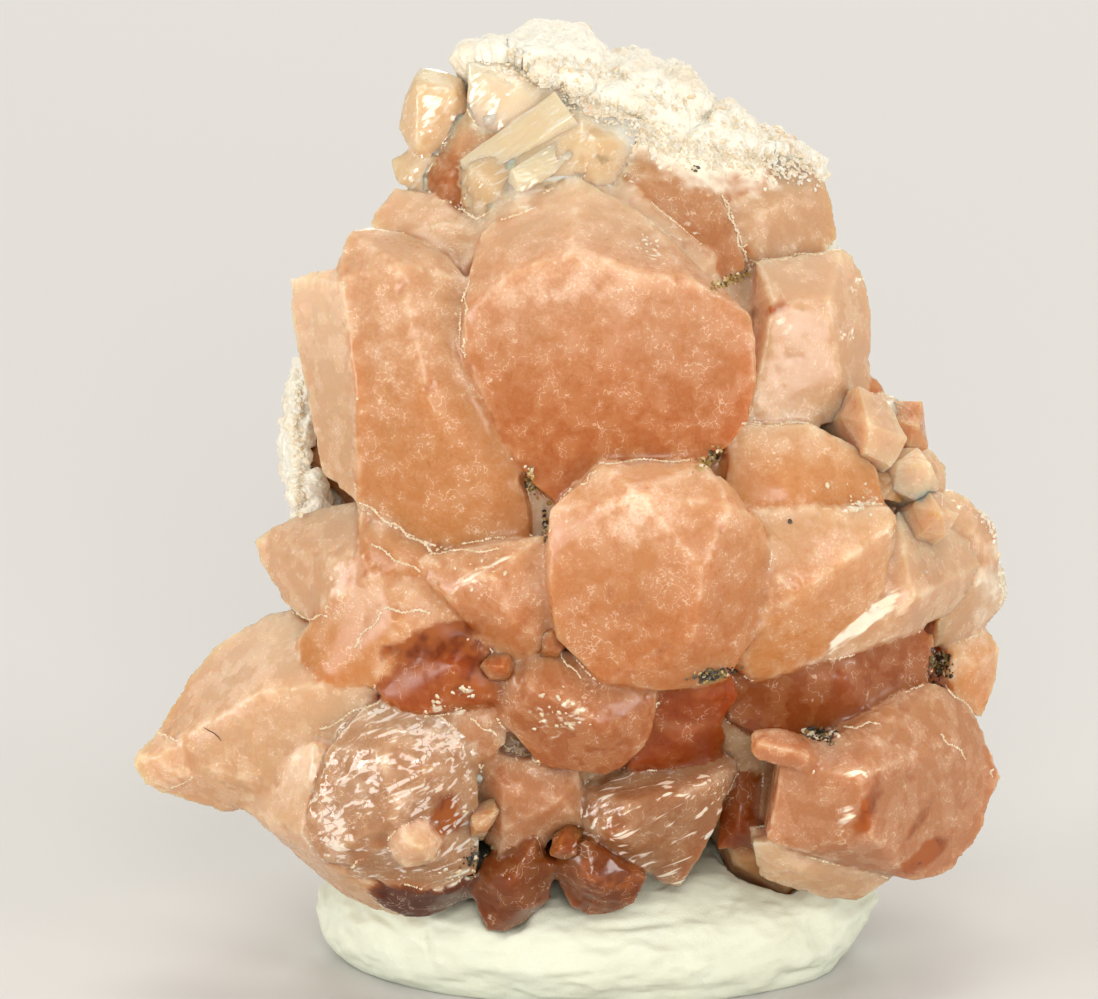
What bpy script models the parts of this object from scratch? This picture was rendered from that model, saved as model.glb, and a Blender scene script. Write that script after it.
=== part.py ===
"""Amethyst specimen: intergrown quartz crystals on a white matrix, pressed into a lump of putty.

Everything is drawn in millimetres.  A crystal's corners are given as (across, up, depth): across and up are
read on a front elevation drawn from SHEET_TILT above the horizontal, and depth is the true distance behind the
specimen's middle plane, so a negative depth stands towards the front.  Each crystal is the convex body of its
corners and of a smaller copy of them at its root.  All the crystals are then fused into one solid.
"""

import math
import random

import bmesh
import bpy
from mathutils import Matrix, Vector

MM = 0.001

# Driving dimensions, in millimetres
SHEET_TILT = math.radians(15.0)
CRYSTAL_GAP = 0.3        # clearance between the fused crystals and what touches them
CORNER_JITTER = 0.04     # natural unevenness of each corner, so that no two faces coincide
ROOT_STEP = 3            # every third corner is repeated at the root
ROOT_FLATTENING = 0.3    # how much of the corners' depth the root keeps
FLAT_ANGLE = math.radians(1.0)  # faces closer to one plane than this are one face
PUTTY_WIDTH = 39.5
PUTTY_DEPTH = 29.0
PUTTY_HEIGHT = 9.2
PUTTY_CENTRE = (3.4, -0.5)
PUTTY_UNDERSIDE = -33.1
PUTTY_BULGE = 3.7        # height of the widest part above the underside
PUTTY_UNDERCUT = 0.13    # how far the underside draws in
PUTTY_LOW_ANGLE = math.radians(-60.0)   # where the side's profile starts and ends
PUTTY_HIGH_ANGLE = math.radians(88.0)
PUTTY_SHOULDER = 0.7     # a lower value makes the top flatter
PUTTY_WAVES = ((3.0, 0.020), (7.0, 0.012))  # thumb marks round it: how many, how deep
PUTTY_RINGS = 10
PUTTY_SIDES = 36

AMETHYST = ("amethyst", (0.80, 0.42, 0.26), 0.28)
MATRIX = ("white_quartz_matrix", (0.82, 0.76, 0.68), 0.75)
PUTTY = ("mounting_putty", (0.80, 0.79, 0.70), 0.70)

# The body that the crystals share, as one outline scaled at three depths
HEART_OUTLINE = (
    (-3.0, 27.5), (7.0, 26.0), (14.5, 21.5), (18.5, 12.0), (24.0, 2.0), (27.0, -6.0), (27.0, -15.0),
    (23.5, -22.5), (12.0, -24.5), (-4.0, -25.0), (-13.0, -23.5), (-18.0, -17.0), (-15.0, -4.0), (-13.0, 12.0),
    (-8.0, 22.0),
)
HEART_LEVELS = ((-8.5, 0.74), (-1.0, 0.97), (5.5, 0.86))
# It swells forward in the middle and at the top, to just below the crystals' contacts
HEART_SWELL = (
    (-9.0, 10.0, -9.8), (-10.0, -3.0, -13.0), (-15.0, -13.0, -12.0), (-13.0, -22.0, -11.4), (-4.0, -16.5, -15.2),
    (-1.0, 0.0, -14.2), (10.0, 12.0, -10.8), (12.0, 3.0, -13.0), (5.0, -12.0, -16.2), (2.5, -21.0, -13.6),
    (12.0, -8.0, -14.4), (22.5, 1.0, -8.6), (26.0, -9.0, -6.5), (22.0, -20.0, -8.5), (-4.0, 14.0, -8.6),
)
HEART_CROWN = (
    (-8.2, 24.0, 0.2), (-5.4, 27.5, -0.2), (2.0, 28.8, -0.4), (8.0, 26.2, -0.6), (15.0, 23.4, -0.8),
    (13.0, 20.0, -3.2), (13.6, 17.2, -4.8), (4.0, 17.0, -8.0), (-8.0, 18.0, -5.0), (0.0, 21.0, -6.0),
    (18.5, 17.0, -1.0), (-6.0, 22.0, 3.0), (10.0, 20.0, 3.0),
)

# name, root (across, up, depth), taper of the root, corners (across, up, depth)
CRYSTALS = (
    # The great crystal in the middle: a broad front face under a bent ridge and paler top faces
    ("great_middle", (3.5, 10.0, 2.0), 0.75, (
        (2.0, 22.4, -6.5), (-0.3, 21.0, -7.5), (-4.8, 18.5, -8.8), (-5.5, 16.1, -10.8), (-5.9, 12.9, -13.2),
        (-6.0, 10.2, -14.0), (-4.8, 7.7, -14.6), (-3.1, 4.2, -15.2), (-1.0, 1.0, -15.5), (1.3, -0.8, -15.6),
        (9.9, 2.4, -16.2), (12.2, 3.4, -15.9), (13.8, 5.4, -15.3), (14.4, 8.4, -14.8), (14.4, 10.6, -14.3),
        (14.0, 12.8, -13.6), (12.3, 14.3, -12.6), (9.9, 16.1, -11.6), (8.8, 17.7, -10.2), (6.4, 20.0, -8.4),
        (4.4, 21.0, -7.4), (-2.4, 15.9, -13.9), (1.6, 17.1, -14.3), (4.3, 16.4, -14.8), (6.4, 15.6, -15.1),
        (9.9, 15.2, -14.4), (4.5, 9.0, -16.3))),
    # The great crystal at the left: a narrow left face and a broad front face
    ("great_left_edge", (-11.0, 8.0, 2.0), 0.60, (
        (-18.1, 15.4, -6.0), (-17.9, 12.6, -6.4), (-17.4, 10.0, -6.9), (-16.7, 7.0, -7.7), (-16.1, 3.8, -8.6),
        (-15.7, 1.7, -9.6), (-13.2, -0.2, -13.0), (-11.5, -1.3, -14.0), (-16.7, 15.9, -7.2), (-14.7, 16.1, -9.0),
        (-14.2, 15.0, -11.0), (-13.2, 7.0, -13.4), (-9.0, 15.6, -10.6))),
    ("great_left", (-7.0, 8.0, 2.0), 0.65, (
        (-14.6, 16.6, -9.0), (-14.4, 17.5, -8.4), (-13.9, 18.7, -7.6), (-12.5, 19.0, -7.0), (-10.4, 18.6, -7.4),
        (-8.3, 17.8, -8.2), (-6.9, 16.9, -9.2), (-5.7, 15.4, -10.6), (-5.6, 11.2, -12.6), (-5.0, 9.1, -13.4),
        (-4.4, 6.8, -14.0), (-3.1, 4.4, -14.6), (-2.2, 2.4, -15.0), (-1.3, -1.4, -15.6), (-1.3, -3.0, -15.6),
        (-3.4, -3.5, -15.6), (-5.5, -3.7, -15.4), (-8.3, -3.2, -15.0), (-11.5, -1.4, -14.2),
        (-13.2, -0.2, -13.2), (-14.3, 15.2, -10.9), (-10.5, 16.4, -11.6), (-13.2, 7.0, -13.5),
        (-8.0, 6.0, -15.4))),
    # The block below the middle, which stands furthest forward
    ("front_middle", (6.5, -5.0, -3.0), 0.75, (
        (3.6, 2.6, -17.6), (10.6, 2.6, -17.2), (12.4, 1.2, -17.2), (14.8, -1.6, -17.0), (15.3, -3.5, -17.2),
        (15.1, -6.3, -17.6), (14.1, -9.8, -18.0), (12.3, -12.6, -18.4), (10.6, -13.0, -19.0),
        (7.6, -13.3, -19.8), (3.6, -12.6, -20.4), (0.5, -9.8, -20.2), (-0.1, -5.5, -20.0), (-0.1, -3.0, -19.4),
        (0.1, -0.7, -18.6), (6.2, 0.3, -21.6), (12.6, -0.4, -20.0), (10.7, -4.9, -22.4), (10.0, -9.5, -21.9))),
    # Two crystals at the middle right, the lower with a speckled upper face and a smooth lower one
    ("right_upper", (17.0, 2.0, -1.0), 0.70, (
        (12.5, 4.2, -13.4), (13.5, 5.2, -12.6), (18.3, 5.3, -11.2), (21.1, 3.8, -10.8), (22.8, 2.1, -10.6),
        (23.2, 0.3, -11.2), (23.6, -1.5, -12.4), (20.0, -3.5, -15.4), (13.0, -4.0, -16.4), (12.0, -1.0, -15.8),
        (16.5, 1.0, -15.0))),
    ("right_lower", (18.0, -5.0, -2.0), 0.70, (
        (13.6, -0.8, -15.8), (19.5, -0.6, -15.0), (23.6, -0.5, -12.8), (24.2, -1.2, -12.2), (24.2, -2.6, -12.4),
        (23.2, -6.3, -13.0), (22.2, -7.9, -13.2), (18.8, -10.8, -14.0), (17.4, -11.5, -14.3),
        (15.3, -12.3, -14.8), (14.1, -12.5, -15.2), (12.5, -11.4, -15.6), (13.1, -9.6, -17.4),
        (17.6, -6.3, -18.0), (21.1, -3.9, -16.6), (23.9, -1.8, -13.8), (12.0, -3.0, -16.6))),
    # The upper right: a block with a ledge, and two faces below the white rim
    ("right_shoulder", (17.0, 10.0, 2.0), 0.70, (
        (14.4, 16.6, -6.0), (17.6, 16.9, -4.5), (20.4, 17.6, -2.5), (21.2, 17.0, -2.0), (22.1, 15.2, -2.5),
        (22.5, 12.9, -3.0), (22.5, 8.6, -4.0), (22.2, 7.7, -4.8), (21.4, 6.6, -6.0), (20.2, 5.4, -8.0),
        (18.3, 5.0, -9.5), (14.0, 5.6, -11.5), (15.5, 13.5, -9.6), (19.5, 14.0, -7.4), (20.3, 8.5, -8.4))),
    ("upper_right_brown", (9.0, 20.0, 4.0), 0.70, (
        (6.7, 26.2, -1.5), (10.6, 24.5, -1.5), (12.0, 21.3, -3.4), (13.0, 18.2, -5.2), (13.7, 16.6, -6.0),
        (13.7, 15.9, -6.4), (11.6, 15.0, -7.6), (9.9, 16.1, -8.2), (6.4, 19.9, -6.6), (4.4, 20.4, -6.2),
        (5.3, 22.4, -4.8))),
    ("upper_right_tan", (14.5, 20.0, 5.0), 0.70, (
        (12.0, 24.2, -0.5), (17.9, 24.0, 2.0), (19.5, 22.2, 1.6), (19.8, 20.6, 1.2), (20.2, 18.2, 0.4),
        (19.3, 17.0, -1.0), (17.6, 16.7, -2.4), (14.4, 16.4, -4.4), (13.6, 16.8, -4.8), (13.0, 18.9, -4.4),
        (12.1, 21.3, -2.6), (16.0, 20.5, -2.4))),
    ("shoulder_end", (21.0, 6.0, 0.0), 0.60, (
        (22.2, 7.7, -3.6), (24.2, 7.2, -3.6), (25.3, 6.1, -4.0), (25.6, 5.4, -4.2), (25.4, 4.0, -5.0),
        (20.4, 4.9, -9.0), (22.6, 3.4, -8.6), (23.4, 6.0, -7.0))),
    ("shoulder_knob", (21.0, 8.0, 1.0), 0.60, (
        (22.4, 8.7, -3.4), (23.2, 8.2, -3.4), (23.4, 7.6, -3.6), (22.2, 7.2, -4.6), (22.5, 8.0, -4.8))),
    ("right_wedge", (22.0, 1.0, -2.0), 0.60, (
        (22.8, 2.1, -9.0), (24.9, 3.3, -6.6), (25.4, 4.2, -5.4), (25.9, 1.4, -6.6), (25.2, -0.4, -8.0),
        (23.2, 0.0, -10.2), (24.2, 1.6, -9.2))),
    ("right_corner", (23.0, 1.5, 1.0), 0.60, (
        (25.4, 4.2, -3.6), (26.7, 3.5, -3.0), (27.5, 2.8, -2.6), (27.9, 2.2, -2.6), (27.9, 1.0, -3.2),
        (27.0, -0.8, -5.0), (25.3, 1.0, -6.6), (26.3, 1.8, -5.6))),
    # The right flank: a leaning crystal with one bright narrow face, then paler outer ones
    ("right_leaning", (23.0, -5.0, -1.0), 0.70, (
        (24.3, -0.8, -9.0), (28.2, -2.1, -5.0), (29.4, -3.1, -4.0), (30.2, -4.5, -4.0), (29.3, -6.5, -5.2),
        (28.2, -7.9, -6.4), (24.3, -9.6, -11.6), (22.3, -10.3, -12.8), (18.4, -11.3, -14.0),
        (25.1, -5.6, -12.4), (25.6, -6.8, -12.8))),
    ("pale_rim_upper", (25.0, -3.0, 4.0), 0.60, (
        (27.9, 0.9, -2.4), (29.3, 0.2, -1.6), (31.2, -1.6, -0.8), (31.5, -2.8, -0.8), (31.5, -4.2, -1.2),
        (28.0, -6.5, -4.4), (26.0, -1.5, -5.6), (29.4, -2.2, -3.4))),
    ("pale_rim_lower", (25.0, -7.0, 4.0), 0.65, (
        (31.3, -3.6, -0.4), (32.0, -5.3, -0.4), (32.2, -6.7, -0.6), (31.8, -7.5, -1.0), (30.6, -8.9, -1.6),
        (29.4, -9.8, -2.4), (28.2, -10.4, -3.4), (26.9, -10.4, -5.0), (27.2, -8.6, -6.4), (30.0, -5.6, -4.0))),
    ("pale_rim_foot", (25.0, -12.0, 3.0), 0.60, (
        (30.6, -8.9, -1.2), (31.2, -9.6, -1.0), (31.7, -10.4, -0.8), (31.5, -12.4, -1.0), (31.2, -13.3, -1.2),
        (30.4, -15.4, -2.4), (28.6, -14.4, -4.6), (28.0, -12.6, -5.2), (28.2, -10.6, -4.6), (30.0, -11.6, -3.8))),
    # The deep orange face under the right side, and the stained block at the lower right
    ("right_hollow_face", (18.0, -14.0, -3.0), 0.75, (
        (12.3, -11.8, -14.6), (15.0, -9.6, -13.6), (22.0, -7.8, -11.0), (27.0, -9.4, -8.6), (27.0, -12.0, -8.8),
        (24.7, -13.6, -10.8), (23.2, -16.2, -12.0), (21.2, -16.9, -12.6), (17.4, -17.0, -13.2),
        (14.5, -16.4, -13.6), (12.5, -15.3, -14.0), (20.5, -12.5, -13.8))),
    ("stained_block", (21.0, -19.5, -4.0), 0.75, (
        (16.1, -18.4, -17.6), (19.0, -17.9, -17.6), (19.8, -16.6, -16.4), (21.2, -16.0, -15.0),
        (23.2, -15.3, -13.4), (24.7, -13.6, -11.6), (26.9, -12.8, -9.4), (28.1, -13.2, -8.2),
        (29.3, -14.2, -7.4), (30.2, -15.9, -7.2), (30.9, -17.9, -7.6), (31.0, -20.0, -8.2), (30.4, -22.8, -9.2),
        (29.6, -24.2, -9.8), (28.1, -25.9, -11.0), (27.1, -26.4, -11.8), (25.5, -26.7, -13.0),
        (24.2, -26.3, -14.0), (17.6, -24.5, -17.2), (15.4, -24.0, -17.4), (15.1, -23.5, -17.4),
        (15.5, -21.7, -17.8), (21.6, -19.1, -19.8), (28.3, -16.7, -11.4), (22.5, -23.5, -18.6))),
    ("stained_nose", (26.0, -18.0, -6.0), 0.60, (
        (31.0, -17.9, -7.0), (31.7, -19.4, -7.2), (31.4, -20.3, -7.6), (30.4, -20.8, -8.4), (29.4, -18.4, -9.8),
        (28.6, -19.8, -10.8))),
    ("streaked_foot", (18.0, -23.5, -5.0), 0.70, (
        (14.1, -23.8, -14.6), (18.1, -24.3, -16.0), (21.6, -25.9, -14.6), (24.2, -26.2, -12.4),
        (23.2, -26.9, -11.6), (21.6, -28.0, -11.4), (19.4, -27.9, -11.8), (17.4, -27.2, -12.2),
        (14.6, -26.4, -12.6), (17.5, -26.0, -14.8))),
    # A short round-ended peg that points left across the recess
    ("peg", (21.0, -18.0, -12.0), 0.80, (
        (13.9, -16.3, -18.0), (14.2, -15.9, -17.8), (15.8, -15.8, -17.6), (17.8, -16.5, -17.0),
        (18.8, -17.0, -17.0), (18.7, -18.1, -18.6), (18.0, -18.9, -18.8), (16.2, -18.4, -19.4),
        (14.4, -18.1, -19.4), (13.9, -17.6, -19.2), (14.5, -16.9, -20.2), (17.4, -17.5, -20.0))),
    # The bottom: a point that hangs down, two rounder crystals behind it, and dark ones in the recess
    ("hanging_point", (7.5, -19.0, -6.0), 0.70, (
        (2.3, -20.3, -15.4), (2.7, -19.9, -15.0), (6.0, -19.5, -14.6), (7.6, -18.4, -14.2), (10.2, -18.2, -14.0),
        (12.2, -17.7, -13.8), (13.0, -18.1, -14.0), (13.2, -18.7, -14.2), (12.4, -20.9, -14.8),
        (11.6, -22.9, -15.2), (10.6, -24.9, -15.0), (9.2, -27.0, -13.6), (8.5, -27.0, -13.6),
        (6.2, -25.9, -14.4), (3.9, -24.7, -15.0), (2.5, -23.5, -15.6), (2.1, -22.5, -15.8), (4.6, -23.4, -18.2),
        (5.6, -21.0, -17.8), (10.6, -20.0, -16.8))),
    ("lower_middle", (-1.0, -20.0, -6.0), 0.75, (
        (-4.9, -17.7, -16.0), (-3.1, -17.8, -16.6), (-0.7, -18.2, -16.8), (2.2, -19.0, -15.8),
        (2.2, -22.5, -15.8), (-0.9, -24.3, -16.0), (-3.3, -24.9, -16.0), (-3.9, -24.5, -15.6),
        (-4.7, -23.7, -15.0), (-3.2, -20.0, -18.0), (-3.2, -23.0, -17.6), (0.8, -20.8, -17.4))),
    ("foot_left", (-2.0, -24.0, -5.0), 0.70, (
        (-5.3, -27.1, -15.0), (-4.6, -25.0, -15.8), (-0.9, -23.6, -17.2), (0.3, -25.7, -16.0),
        (0.1, -27.8, -15.0), (-1.9, -29.7, -14.0), (-3.1, -30.2, -13.8), (-4.3, -30.1, -14.0),
        (-5.1, -28.5, -14.4), (-2.6, -26.6, -18.0), (-1.6, -28.6, -16.4))),
    ("foot_right", (3.0, -23.0, -5.0), 0.70, (
        (0.1, -25.5, -16.0), (1.1, -24.0, -17.0), (2.5, -23.6, -17.4), (4.3, -24.8, -17.4), (6.9, -26.3, -16.4),
        (6.0, -28.1, -15.4), (4.3, -28.9, -15.0), (2.7, -29.0, -15.0), (1.7, -28.3, -15.2), (3.0, -26.6, -18.4))),
    ("recess_upper", (9.0, -13.0, -8.0), 0.80, (
        (7.2, -12.9, -17.6), (9.7, -12.6, -17.6), (12.7, -12.0, -16.6), (13.2, -13.7, -16.2),
        (12.5, -14.7, -16.0), (12.0, -15.3, -15.8), (7.1, -15.3, -16.4), (11.4, -13.8, -17.4))),
    ("recess_middle", (9.0, -16.5, -7.0), 0.80, (
        (6.6, -14.9, -16.2), (11.8, -14.9, -15.4), (12.4, -16.5, -14.8), (12.0, -17.7, -14.4),
        (10.8, -18.6, -14.4), (7.6, -18.8, -15.0), (5.3, -18.8, -15.6), (9.6, -16.2, -16.4))),
    ("recess_dark", (15.0, -18.0, -3.0), 0.70, (
        (12.4, -16.6, -10.4), (16.4, -18.0, -10.0), (16.2, -24.2, -10.4), (11.6, -24.6, -11.0),
        (13.4, -19.5, -11.6), (13.2, -23.2, -12.0))),
    # The crystals round the stained one in the middle
    ("bruised_middle", (1.0, -14.0, -7.0), 0.75, (
        (-2.6, -11.4, -18.2), (0.1, -10.1, -18.4), (1.9, -12.0, -19.6), (7.6, -13.3, -18.6), (7.4, -14.5, -18.8),
        (7.2, -15.9, -18.6), (6.7, -17.0, -18.6), (5.3, -18.4, -18.4), (4.0, -19.1, -18.2), (1.1, -18.8, -18.4),
        (-0.7, -18.4, -18.0), (-3.5, -15.1, -18.0), (-3.3, -12.1, -18.0), (1.4, -14.2, -21.8),
        (3.6, -15.8, -21.4), (-0.6, -13.6, -20.8))),
    ("chipped_middle", (-3.5, -7.0, -4.0), 0.70, (
        (-8.9, -5.1, -16.6), (-8.7, -4.2, -16.2), (-8.0, -3.7, -16.0), (-3.4, -3.3, -16.6), (-0.6, -2.4, -17.0),
        (-0.1, -2.8, -17.2), (0.0, -6.3, -19.0), (0.1, -10.0, -19.2), (-1.3, -10.7, -19.0), (-2.7, -11.5, -18.4),
        (-4.1, -10.2, -18.2), (-7.3, -6.7, -18.2), (-4.1, -5.3, -19.4), (-2.0, -3.7, -18.2),
        (-2.4, -8.5, -20.0))),
    ("rust_red", (-7.0, -12.0, -5.0), 0.70, (
        (-12.2, -12.6, -16.4), (-10.4, -11.1, -16.8), (-8.3, -10.0, -17.2), (-6.9, -9.6, -17.4),
        (-5.5, -9.7, -17.6), (-4.5, -10.0, -17.8), (-3.8, -10.7, -18.0), (-3.4, -12.6, -18.4),
        (-3.6, -14.2, -18.4), (-8.3, -14.8, -18.6), (-9.7, -14.6, -18.2), (-11.5, -13.9, -17.2),
        (-6.6, -11.4, -19.4), (-5.0, -13.0, -19.4))),
    ("middle_wedge", (-5.0, -16.0, -7.0), 0.75, (
        (-8.5, -13.8, -17.0), (-3.2, -14.0, -17.4), (-2.9, -16.9, -17.4), (-4.8, -18.6, -17.0),
        (-7.3, -16.2, -17.2), (-4.6, -15.6, -18.0))),
    # The left side: a block, the faces beside it, and a long point
    ("left_block", (-12.0, -3.5, -1.0), 0.60, (
        (-20.7, -2.8, -6.0), (-19.2, -1.8, -6.6), (-17.8, -1.2, -7.2), (-16.0, -0.6, -8.2), (-13.2, -0.1, -10.5),
        (-20.4, -4.1, -6.4), (-18.5, -7.2, -9.0), (-17.2, -8.4, -11.0), (-15.5, -8.1, -13.0),
        (-14.8, -4.2, -13.4), (-15.3, -6.9, -13.8), (-12.9, -3.2, -13.8), (-12.6, -5.5, -14.6))),
    ("left_dark_face", (-10.5, -4.0, -3.0), 0.70, (
        (-13.4, -0.2, -12.4), (-11.6, -0.8, -13.2), (-8.0, -3.1, -15.0), (-8.6, -5.2, -16.6),
        (-12.6, -3.2, -14.4), (-12.8, -5.5, -15.0), (-10.0, -4.6, -16.4))),
    ("left_speckled", (-11.0, -9.0, -3.0), 0.70, (
        (-13.1, -3.8, -14.2), (-8.9, -5.1, -16.4), (-7.6, -4.0, -15.6), (-4.0, -7.0, -17.0), (-3.2, -10.4, -17.8),
        (-12.2, -12.9, -16.6), (-16.2, -12.9, -14.8), (-17.6, -9.8, -12.0), (-15.5, -7.9, -13.4),
        (-10.5, -8.5, -17.4))),
    ("left_point", (-13.0, -14.0, -5.0), 0.75, (
        (-27.3, -16.3, -8.4), (-25.8, -14.0, -7.0), (-24.9, -12.2, -6.4), (-23.7, -10.3, -6.0),
        (-22.0, -9.2, -6.4), (-19.7, -8.0, -7.4), (-18.1, -7.6, -8.4), (-27.3, -20.3, -9.2),
        (-25.3, -21.0, -9.4), (-23.2, -21.8, -9.8), (-21.6, -21.9, -10.2), (-19.3, -21.3, -11.4),
        (-25.9, -16.6, -11.0), (-23.4, -15.4, -12.4), (-20.2, -13.4, -14.0), (-16.2, -12.8, -15.2),
        (-24.0, -18.6, -12.4), (-21.1, -19.4, -13.6), (-18.7, -20.0, -14.4),
        (-14.2, -16.2, -15.2), (-12.0, -13.2, -15.8))),
    ("left_point_nose", (-21.0, -16.0, -8.0), 0.70, (
        (-29.0, -17.6, -9.2), (-29.2, -18.1, -9.4), (-29.1, -18.8, -9.6), (-28.4, -20.0, -9.6),
        (-27.2, -16.1, -8.2), (-27.1, -20.3, -9.4), (-25.5, -16.8, -11.4), (-25.2, -19.4, -11.8),
        (-27.6, -18.0, -11.0))),
    # The glossy crystal at the lower left, and what stands on and below it
    ("glossy_left_flank", (-12.0, -22.0, -5.0), 0.75, (
        (-21.6, -21.4, -11.2), (-19.7, -23.1, -11.4), (-18.1, -24.5, -11.6), (-16.2, -26.1, -11.8),
        (-14.4, -27.6, -12.0), (-11.9, -28.8, -12.4), (-9.9, -29.2, -12.6), (-17.1, -23.3, -16.4),
        (-15.8, -25.2, -16.0), (-14.0, -26.3, -15.8), (-9.5, -27.2, -15.6), (-18.9, -20.3, -14.4),
        (-16.7, -21.2, -16.4), (-16.2, -16.8, -15.8), (-20.6, -20.6, -12.6))),
    ("glossy", (-10.0, -19.0, -7.0), 0.75, (
        (-17.1, -23.3, -17.0), (-16.7, -21.2, -17.2), (-15.4, -17.1, -16.8), (-14.0, -15.8, -16.4),
        (-13.0, -14.5, -16.2), (-11.9, -13.9, -16.2), (-8.8, -14.1, -17.0), (-5.7, -16.2, -17.4),
        (-5.2, -17.7, -17.6), (-4.9, -20.5, -17.4), (-5.0, -22.5, -17.0), (-14.4, -25.4, -17.0),
        (-15.8, -25.2, -16.8), (-9.6, -25.6, -17.2), (-11.5, -17.5, -19.8), (-8.2, -18.8, -20.2),
        (-10.8, -22.0, -20.6), (-14.2, -24.2, -18.8))),
    ("glossy_flap", (-9.0, -22.5, -8.0), 0.70, (
        (-8.7, -21.6, -18.6), (-5.5, -20.8, -17.6), (-4.8, -23.5, -17.0), (-5.4, -24.8, -16.8),
        (-5.0, -26.1, -16.6), (-7.8, -27.1, -16.4), (-10.4, -26.8, -16.4), (-14.0, -26.0, -16.4),
        (-12.6, -24.2, -18.8), (-8.0, -24.4, -19.0))),
    ("glossy_knob", (-9.2, -23.6, -12.0), 0.95, (
        (-11.0, -23.6, -19.6), (-10.4, -22.4, -19.6), (-8.7, -22.3, -19.6), (-7.6, -23.7, -19.6),
        (-8.2, -25.3, -19.2), (-9.9, -25.6, -19.0), (-10.7, -24.8, -19.2), (-9.4, -23.9, -21.2),
        (-8.8, -24.2, -21.2))),
    ("rust_foot", (-8.0, -25.0, -6.0), 0.75, (
        (-12.5, -26.9, -15.4), (-10.8, -26.0, -16.6), (-5.0, -26.4, -15.6), (-5.3, -27.8, -13.6),
        (-7.6, -28.9, -13.6), (-8.8, -29.2, -13.8), (-9.9, -29.2, -13.8), (-11.5, -28.5, -14.2),
        (-9.4, -27.4, -16.6), (-6.8, -27.4, -16.0))),
    # The top: clear yellowish crystals below the white cap
    ("back_left", (-8.0, 19.0, 2.0), 0.70, (
        (-12.5, 19.0, -4.6), (-12.3, 19.8, -3.6), (-11.8, 20.6, -3.0), (-10.9, 21.9, -2.2), (-9.2, 21.6, -2.8),
        (-7.6, 20.9, -4.0), (-4.8, 18.7, -6.6), (-5.6, 16.0, -8.8), (-10.4, 18.4, -6.6), (-7.5, 19.3, -6.2))),
    ("yellow_prism", (-1.0, 23.0, 3.0), 0.65, (
        (-6.5, 20.0, -3.6), (-6.2, 22.7, -2.8), (-6.0, 23.4, -2.6), (-4.8, 24.3, -2.6), (-3.4, 25.2, -2.4),
        (-0.6, 26.2, -2.2), (1.8, 27.1, -2.0), (2.9, 26.4, -2.6), (2.5, 22.4, -5.8), (0.8, 21.3, -6.8),
        (-2.0, 20.1, -7.4), (-4.8, 18.6, -6.8), (-5.6, 23.2, -4.2), (2.4, 26.4, -3.8), (-3.4, 21.2, -6.8),
        (2.4, 24.6, -5.2))),
    ("yellow_blade", (4.0, 23.5, 3.0), 0.65, (
        (2.3, 26.6, -1.8), (6.7, 26.4, -1.4), (6.4, 25.5, -2.2), (5.8, 23.8, -3.6), (5.1, 22.0, -4.8),
        (4.3, 20.4, -6.4), (3.4, 21.3, -6.4), (2.2, 22.5, -5.8), (3.0, 25.0, -4.8), (5.0, 25.2, -3.8))),
    ("clear_striated", (-2.0, 27.5, 4.0), 0.75, (
        (-5.7, 30.6, 0.5), (-0.3, 31.0, 1.0), (2.4, 28.8, 0.0), (2.2, 27.2, -1.0), (-0.6, 26.0, -1.8),
        (-3.9, 25.6, -2.0), (-4.9, 25.8, -1.4), (-5.7, 27.6, -0.4), (-2.5, 28.6, -1.8))),
    ("clear_left", (-6.0, 25.5, 5.0), 0.60, (
        (-10.6, 26.0, 1.5), (-10.2, 28.0, 1.5), (-9.5, 29.6, 2.0), (-8.9, 30.2, 2.4), (-7.6, 30.1, 2.2),
        (-6.0, 29.5, 2.0), (-5.5, 26.6, 0.8), (-7.4, 23.6, -0.6), (-8.8, 23.8, -0.4), (-9.9, 24.6, 0.4),
        (-9.2, 28.8, -0.2), (-9.2, 24.6, -1.4), (-6.8, 28.4, -0.2))),
    ("left_tooth", (-7.0, 22.5, 3.0), 0.60, (
        (-9.9, 24.5, 1.0), (-11.2, 23.7, 1.0), (-10.7, 22.4, 0.4), (-10.6, 21.9, -0.6), (-8.0, 23.8, -1.6),
        (-7.4, 21.2, -3.0), (-9.4, 23.2, -1.2))),
    ("orange_sliver", (-6.5, 22.0, 2.0), 0.70, (
        (-7.8, 23.9, -1.4), (-6.0, 24.2, -1.6), (-6.0, 20.0, -4.8), (-7.7, 20.6, -4.2), (-8.6, 22.4, -2.0),
        (-6.9, 22.4, -3.8))),
)

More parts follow.
